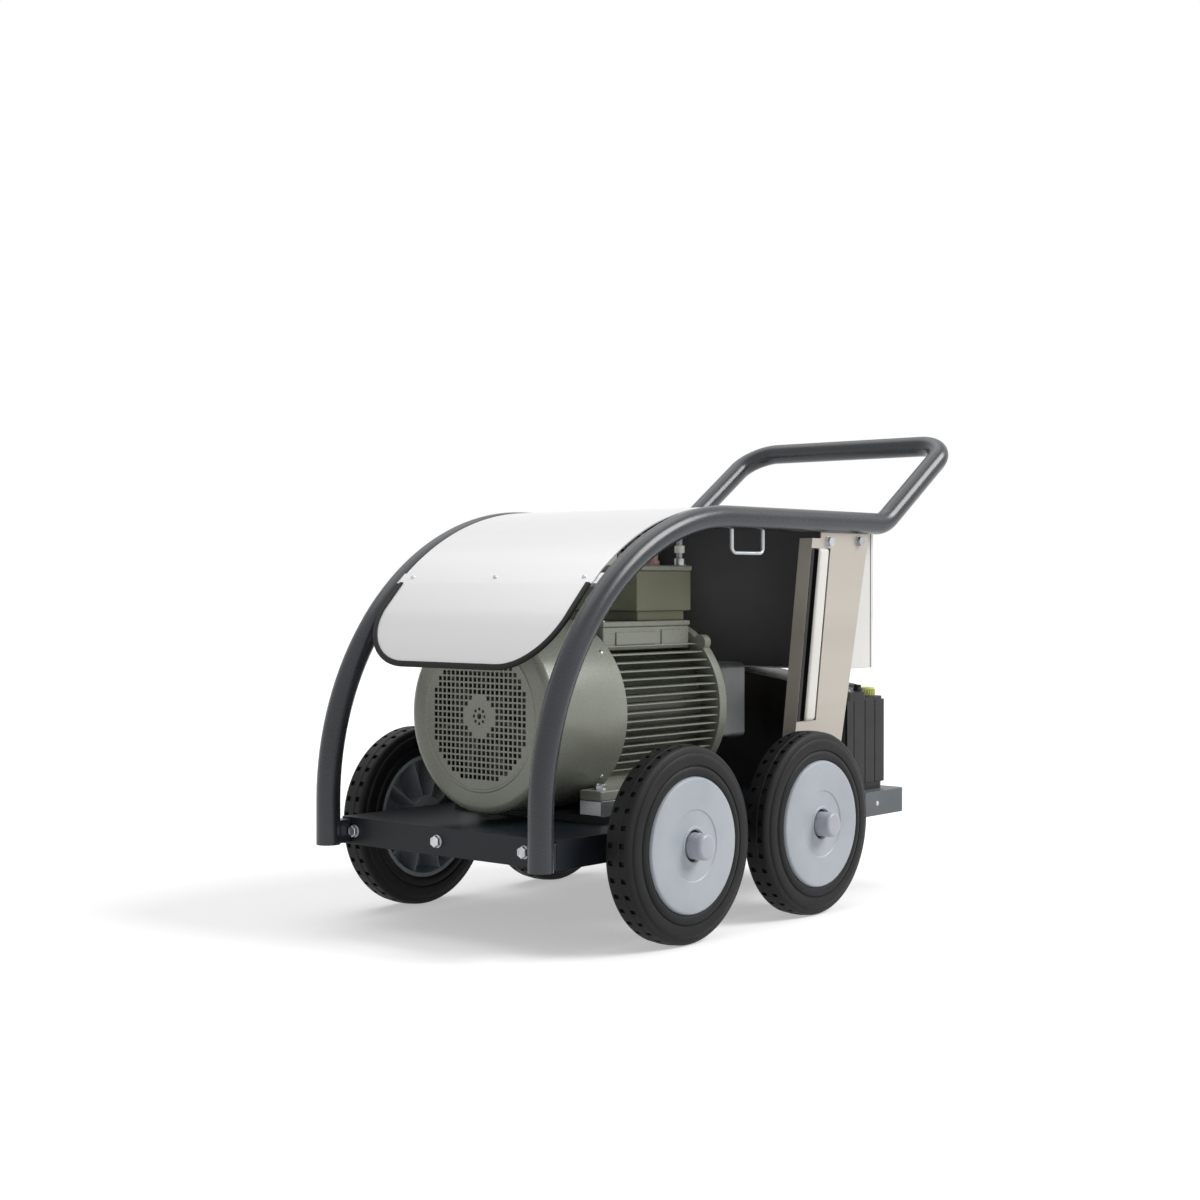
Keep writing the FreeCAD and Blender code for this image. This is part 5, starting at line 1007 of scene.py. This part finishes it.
fitted(eased("break_tank", as_mesh("break_tank", bowed), TANK_ROUNDING, 4), tank_pe, "chassis",
       "tank_plastic", "water_tank")
tank_length = tank_high.x - tank_low.x
PANEL_SUNK = 0.002
PANEL_FOOT = 0.012
side_panels = []
for side, y, top in ((-1, tank_low.y, 0.333), (1, tank_high.y, tank_high.z - 0.014)):
    y_low, y_high = sorted((y + side * PANEL_RISE, y - side * PANEL_SUNK))
    side_panels += [((tank_low.x + low * tank_length, y_low, tank_low.z + PANEL_FOOT),
                     (tank_low.x + high * tank_length, y_high, top)) for low, high in SIDE_PANELS]
fitted(eased("tank_side_panels", blocks(*side_panels), 0.0011), tank_pe, "chassis", "tank_plastic")
TANK_TOP_SLOPE = 0.1445
vent_x, vent_y = tank_low.x + 0.062, tank_low.y + 0.014
vent_z = 0.348 + TANK_TOP_SLOPE * 0.014
vent = turned("tank_vent", outline([(vent_z - 0.002, 0.008, 0), (vent_z + 0.004, 0.008, 0.0008),
                                    (vent_z + 0.004, 0.0065, 0.0004), (vent_z + 0.010, 0.0065, 0.0015),
                                    (vent_z + 0.010, 0, 0)], closed=False), (vent_x, vent_y, 0), "Z", 32)
fitted(vent, black_plastic, "chassis", "black_plastic")
plug = turned("tank_level_plug", outline([(vent_z - 0.002, 0.0042, 0), (vent_z + 0.002, 0.0042, 0.001),
                                          (vent_z + 0.002, 0, 0)], closed=False),
              (tank_low.x + 0.03, vent_y, 0), "Z", 24)
fitted(plug, white_plastic, "chassis", "duct_plastic")

cap_low, cap_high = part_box("tank_cap")
cap_radius = (cap_high.x - cap_low.x) / 2
cap_mid = (cap_low + cap_high) / 2
GRIPS = 28
cap_shell = turned("filler_cap_shell", outline([
    (cap_low.z, 0.0142, 0), (cap_low.z, cap_radius - 0.0008, 0.0006),
    (cap_high.z, cap_radius - 0.0016, 0.002),
    (cap_high.z, cap_radius * 0.6, 0.0006), (cap_high.z - 0.0012, cap_radius * 0.55, 0.0006),
    (cap_high.z - 0.0012, 0, 0)], closed=False), (cap_mid.x, cap_mid.y, 0), "Z", 56)
grip_top = cap_high.z - cap_low.z - 0.003
grip = eased("grip", blocks(((-0.0008, -0.0009, 0.001), (0.0008, 0.0009, grip_top))), 0.0004, 2)
grips = grown("cap_grips", seed(), rib_tree, Count=GRIPS,
              Radius=cap_radius - 0.0009, Rib=grip, Finish=cap_pp)
bpy.data.objects.remove(grip)
placed(grips, Matrix.Translation((cap_mid.x, cap_mid.y, cap_low.z)))
fitted(cap_shell, cap_pp, "filler_cap", "cap_plastic", "tank_cap")
fitted(grips, None, "filler_cap", "cap_plastic")


# ---------------------------------------------------------------- uprights and cable ducts
# Folded stainless uprights that carry the rear of the tubes and the cabinet, brushed along their length.
# A white plastic duct runs in a slot of each. Black strips round the duct are painted shade for the slot's
# dark gap.
def brushed(name, light, dark, roughness, along, metallic):
    """Stainless sheet brushed along an axis: fine streaks in its gloss, and a slow drift in tone."""
    return finish(name, light, dark, roughness, 0.0012, 0.00001, metallic=metallic, cloud=0.12,
                  stretch=tuple(0.04 if axis in along else 1.0 for axis in "XYZ"))


FOLD_FOOT_X = 0.04475
FOLD_TOP_X = 0.11275
FOLD_TOP_Z = 0.618
# Brushed sheet smears the light along its lines, so it looks warm and soft.
stainless = brushed("stainless_brushed", "#c4bdb4", "#bab3aa", (0.34, 0.44), "X", 0.5)
clad("folded_uprights", "uprights", 0.0008, stainless, "chassis", "stainless")
fitted(eased("white_ducts", merged("cable_ducts"), 0.006, 5), white_plastic, "chassis", "duct_plastic",
       "cable_ducts")
duct_low, duct_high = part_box("cable_ducts")


def fold_x(z):
    """Where the upright's front fold is at a height."""
    return FOLD_FOOT_X + (FOLD_TOP_X - FOLD_FOOT_X) * (z - tray_high.z) / (FOLD_TOP_Z - tray_high.z)


def slanted(offset, width, bottom, top, y_low, y_high):
    """A bar that runs alongside the upright's fold."""
    corners = [(fold_x(z) + offset + w, y, z) for z in (bottom, top) for w in (0, width)
               for y in (y_low, y_high)]
    faces = [(0, 1, 3, 2), (4, 6, 7, 5), (0, 4, 5, 1), (2, 3, 7, 6), (0, 2, 6, 4), (1, 5, 7, 3)]
    mesh = bpy.data.meshes.new("slanted")
    mesh.from_pydata(corners, [], faces)
    shape = bmesh.new()
    shape.from_mesh(mesh)
    bmesh.ops.recalc_face_normals(shape, faces=shape.faces)
    shape.to_mesh(mesh)
    shape.free()
    return mesh


SHADE_STRIP_SET_IN = 0.0045
SHADE_STRIP_THICK = 0.0016
SHADE_LINER_PROUD = 0.0008
SHADE_STRIP_PAST_SLOT = 0.004
# Black strips behind, beside and under each duct: painted shade for the shaded gap in the slot.
for side, hand in ((-1, "right"), (1, "left")):
    inner = side * (upright_high.y - SHADE_STRIP_SET_IN)
    strip = slanted(0.006, 0.055, duct_low.z - SHADE_STRIP_PAST_SLOT, duct_high.z + SHADE_STRIP_PAST_SLOT,
                    *sorted((inner, inner - side * SHADE_STRIP_THICK)))
    fitted(eased(f"slot_backing_{hand}", strip, 0.0004, 2), black_plastic, "chassis", "black_plastic")
    liner = slanted(0.0006, 0.0078, duct_low.z, duct_high.z,
                    *sorted((side * upright_high.y, side * (upright_high.y + SHADE_LINER_PROUD))))
    fitted(eased(f"slot_liner_{hand}", liner, 0.0003, 2), black_plastic, "chassis", "black_plastic")
    base = slanted(0.0195, 0.004, duct_low.z + 0.002, duct_high.z - 0.002,
                   *sorted((inner, side * (duct_high.y - 0.0035))))
    fitted(eased(f"duct_base_{hand}", base, 0.0004, 2), black_plastic, "chassis", "black_plastic")


# ---------------------------------------------------------------- control cabinet
# A sheet-steel cabinet under the rear of the hood: white enamel shell, a charcoal front panel, and a door
# at the back on two hinges, with the main switch, the start and stop buttons and a quarter-turn lock.
# Baked enamel is smooth and bright. The charcoal front is dull and darker than its coat: painted shade from
# the hood above it. The knobs catch a sharp light.
white_enamel = finish("enamel_baked_white", "#ecebe8", "#e3e2df", (0.26, 0.36), 0.0018, 0.00006, cloud=0.2)
charcoal = finish("powder_coat_charcoal", "#4c4c4d", "#404041", (0.4, 0.5), 0.001, 0.0001, cloud=0.2,
                  shine=0.3)
red_plastic = finish("polyamide_moulded_red", "#c2231d", "#b21d18", (0.26, 0.36), 0.0012, 0.00004)
green_plastic = finish("polyamide_moulded_green", "#2f9a46", "#278a3c", (0.26, 0.36), 0.0012, 0.00004)
cabinet_low, cabinet_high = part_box("cabinet_body")
clad("cabinet_shell", "cabinet_body", 0.0016, white_enamel, "chassis", "cabinet_paint")
PANEL_THICK = 0.0012
PANEL_MARGIN = 0.0025
# The front panel's charcoal is partly its coat and partly painted shade from the hood over it.
panel = blocks(((cabinet_low.x - PANEL_THICK, cabinet_low.y + PANEL_MARGIN, cabinet_low.z + PANEL_MARGIN),
                (cabinet_low.x, cabinet_high.y - PANEL_MARGIN, cabinet_high.z - PANEL_MARGIN)))
fitted(eased("cabinet_front_panel", panel, 0.0005, 2), charcoal, "chassis", "cabinet_paint")
clad("door_pan", "cabinet_door", 0.0012, white_enamel, "door", "cabinet_paint")
clad("hinge_halves", "door_hinges", 0.0005, zinc, "chassis", "zinc_steel")
clad("rotary_switch", "main_switch", 0.0012, red_plastic, "switch_knob", "red_plastic")
clad("green_button", "start_button", 0.0006, green_plastic, "start_cap", "green_plastic")
clad("red_button", "stop_button", 0.0006, red_plastic, "stop_cap", "red_plastic")
SWITCH_RING = 0.0285
switch_low, switch_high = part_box("main_switch")
switch_mid = (switch_low + switch_high) / 2
DIAL_HOLE = 0.0225
dial_back = switch_low.x - 0.0006
dial = turned("switch_dial", outline([
    (dial_back, SWITCH_RING, 0), (switch_low.x, SWITCH_RING, 0.0002), (switch_low.x, DIAL_HOLE, 0),
    (dial_back, DIAL_HOLE, 0)]), (0, switch_mid.y, switch_mid.z), "X", 64, closed=True)
fitted(dial, black_plastic, "door", "black_plastic")
ticks = []
for degrees in (0, 90):
    out = Vector((0, *round_x(degrees)))
    spot = switch_mid + out * (SWITCH_RING + 0.004)
    ticks.append(((dial_back, spot.y - 0.0012, spot.z - 0.0012),
                  (switch_low.x - 0.0002, spot.y + 0.0012, spot.z + 0.0012)))
fitted(eased("switch_marks", blocks(*ticks), 0.0001, 2), black_plastic, "door", "black_plastic")
clad("quarter_turn_lock", "door_latch", 0.0006, zinc, "lock", "zinc_steel")
dressed("door_gasket", hose_rubber)
# Grey polycarbonate: plain and half matt, as switchgear is.
gear_grey = finish("polycarbonate_moulded_grey", "#8d8f91", "#828486", (0.4, 0.5), 0.0014, 0.00006)
clad("switchgear", "control_gear", 0.001, gear_grey, "chassis", "cabinet_paint")


# ---------------------------------------------------------------- hood
# One sheet of stainless rolled over the motor between the tubes, 2 mm thick and brushed across its width.
# It ends in a flap with round lower corners in a black rubber edge strip. Screws hold it to a crossbar.
ARC_X = foot_x + ARC_RADIUS
ARC_Z = rail_z - ARC_RADIUS
HOOD_RADIUS = 0.463
HOOD_SHEET = 0.002
FLAP_LOW = math.radians(28.0)
FLAP_HIGH = math.radians(47.5)
FLAP_HALF = 0.199
FLAP_CORNER = 0.1
hood_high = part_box("hood_panel")[1]
hood_half = hood_high.y


def on_hood(length, y, lift=0.0):
    """A point of the hood's outer face, from the sheet's length above the flap's lower edge."""
    arc_length = HOOD_RADIUS * (math.pi / 2 - FLAP_LOW)
    if length > arc_length:
        return Vector((ARC_X + length - arc_length, y, ARC_Z + HOOD_RADIUS + lift))
    angle = FLAP_LOW + length / HOOD_RADIUS
    return Vector((ARC_X - (HOOD_RADIUS + lift) * math.cos(angle), y,
                   ARC_Z + (HOOD_RADIUS + lift) * math.sin(angle)))


flap_length = HOOD_RADIUS * (FLAP_HIGH - FLAP_LOW)
whole_length = HOOD_RADIUS * (math.pi / 2 - FLAP_LOW) + hood_high.x - ARC_X
corner_arc = [(math.cos(math.radians(a)), math.sin(math.radians(a))) for a in range(0, 95, 5)]
stations = [(FLAP_CORNER * (1 - c), FLAP_HALF - FLAP_CORNER * (1 - s)) for c, s in corner_arc]
stations += [(flap_length - 0.0012, FLAP_HALF), (flap_length, hood_half)]
HOOD_STEPS = 64
stations += [(flap_length + (whole_length - flap_length) * k / HOOD_STEPS, hood_half)
             for k in range(1, HOOD_STEPS + 1)]
ACROSS = 12
sheet_shape = bmesh.new()
grid = [[sheet_shape.verts.new(on_hood(s, half * (2 * j / ACROSS - 1))) for j in range(ACROSS + 1)]
        for s, half in stations]
for lower, upper in zip(grid, grid[1:]):
    for j in range(ACROSS):
        sheet_shape.faces.new((lower[j], upper[j], upper[j + 1], lower[j + 1]))
bmesh.ops.recalc_face_normals(sheet_shape, faces=sheet_shape.faces)
sheet_shape.faces.ensure_lookup_table()
if sheet_shape.faces[-1].normal.z < 0:
    bmesh.ops.reverse_faces(sheet_shape, faces=sheet_shape.faces)
hood_sheet = put("hood_sheet_thin", as_mesh("hood", sheet_shape, SMOOTH))
wall = hood_sheet.modifiers.new("wall", "SOLIDIFY")
wall.thickness = HOOD_SHEET
wall.offset = -1.0
# Finely brushed sheet in a white room: nearly white, darker where it rolls away from the light.
hood_steel = brushed("stainless_hood_brushed", "#ececec", "#e5e5e5", (0.3, 0.4), "Y", 0.3)
fitted(baked(hood_sheet, "hood_sheet"), hood_steel, "chassis", "hood_steel", "hood_panel")

# Extruded rubber: a dull black line round the flap.
trim_rubber = finish("rubber_edge_strip_black", "#151517", "#0e0e10", (0.45, 0.6), 0.0012, 0.0001,
                     shine=0.25)
TRIM_PROUD = 0.005
TRIM_GRIP = 0.004
TRIM_WALL = 0.0022
TRIM_SECTION = [(p.x, p.y) for p in bent(
    [(-TRIM_GRIP, TRIM_WALL, 0), (TRIM_PROUD, TRIM_WALL, 0), (TRIM_PROUD, -HOOD_SHEET - TRIM_WALL, 0),
     (-TRIM_GRIP, -HOOD_SHEET - TRIM_WALL, 0)], [0.0012, 0.003, 0.003, 0.0012], closed=True,
    step=math.radians(30))]
flap_edge = [(flap_length, -FLAP_HALF)]
flap_edge += [(FLAP_CORNER * (1 - s), -FLAP_HALF + FLAP_CORNER * (1 - c)) for c, s in corner_arc]
flap_edge += [(s, -y) for s, y in reversed(flap_edge)]
trim_shape = bmesh.new()
rings = []
for k, (s, y) in enumerate(flap_edge):
    before = Vector(flap_edge[max(k - 1, 0)])
    after = Vector(flap_edge[min(k + 1, len(flap_edge) - 1)])
    along = (after - before).normalized()
    rings.append([trim_shape.verts.new(on_hood(s - along.y * reach, y + along.x * reach, lift))
                  for reach, lift in TRIM_SECTION])
for here, there in zip(rings, rings[1:]):
    for k in range(len(here)):
        after = (k + 1) % len(here)
        trim_shape.faces.new((here[k], here[after], there[after], there[k]))
trim_shape.faces.new(rings[0])
trim_shape.faces.new(rings[-1])
bmesh.ops.recalc_face_normals(trim_shape, faces=trim_shape.faces)
fitted(put("flap_edge_strip", as_mesh("flap_edge_strip", trim_shape, SMOOTH)), trim_rubber, "chassis",
       "trim_rubber", "hood_trim")
dressed("hood_crossbar", zinc)

HOOD_SCREW_ANGLE = math.radians(49.2)
HOOD_SCREW_Y = 0.183
COWL_SCREW_BACK = 0.0218
hood_screw = screw("hood_screw", SCREW_HEAD, 0.0026)
screw_out = Vector((-math.cos(HOOD_SCREW_ANGLE), 0, math.sin(HOOD_SCREW_ANGLE)))
hood_screw_s = HOOD_RADIUS * (HOOD_SCREW_ANGLE - FLAP_LOW)
screw_places = [(on_hood(hood_screw_s, y), screw_out) for y in (-HOOD_SCREW_Y, 0, HOOD_SCREW_Y)]
for degrees in (40, 140, 220, 320):
    out = Vector((0, *round_x(degrees)))
    screw_places.append((Vector((cowl_high.x - COWL_SCREW_BACK, 0, MOTOR_AXIS_Z)) + out * COWL_RADIUS, out))
set_out("small_sheet_screws", hood_screw, screw_places, zinc, "small_screws")
rivet = screw("tray_rivet", SCREW_HEAD, 0.0014)
RIVET_BEHIND = 0.0386
rivet_places = [((rear_low.x + RIVET_BEHIND, y, (rear_low.z + tray_high.z) / 2), (0, side, 0))
                for y, side in ((rear_low.y, -1), (-rear_low.y, 1))]
set_out("tray_rivets", rivet, rivet_places, white_plastic)
for part in (hood_screw, rivet):
    bpy.data.objects.remove(part)

hook_low, hook_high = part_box("hose_hook")
HOOK_RADIUS = 0.003
HOOK_BEND = 0.01
hook_start, hook_end = hook_low.x + HOOK_RADIUS, hook_high.x - HOOK_RADIUS
hook_bottom = hook_low.z + HOOK_RADIUS
hook_run = [(hook_start, -tube_y, hook_high.z), (hook_start, -tube_y, hook_bottom),
            (hook_end, -tube_y, hook_bottom), (hook_end, -tube_y, hook_high.z)]
piped("hose_loop", hook_run, [0, HOOK_BEND, HOOK_BEND, 0], HOOK_RADIUS, 20, zinc, "zinc_steel", "hose_hook")
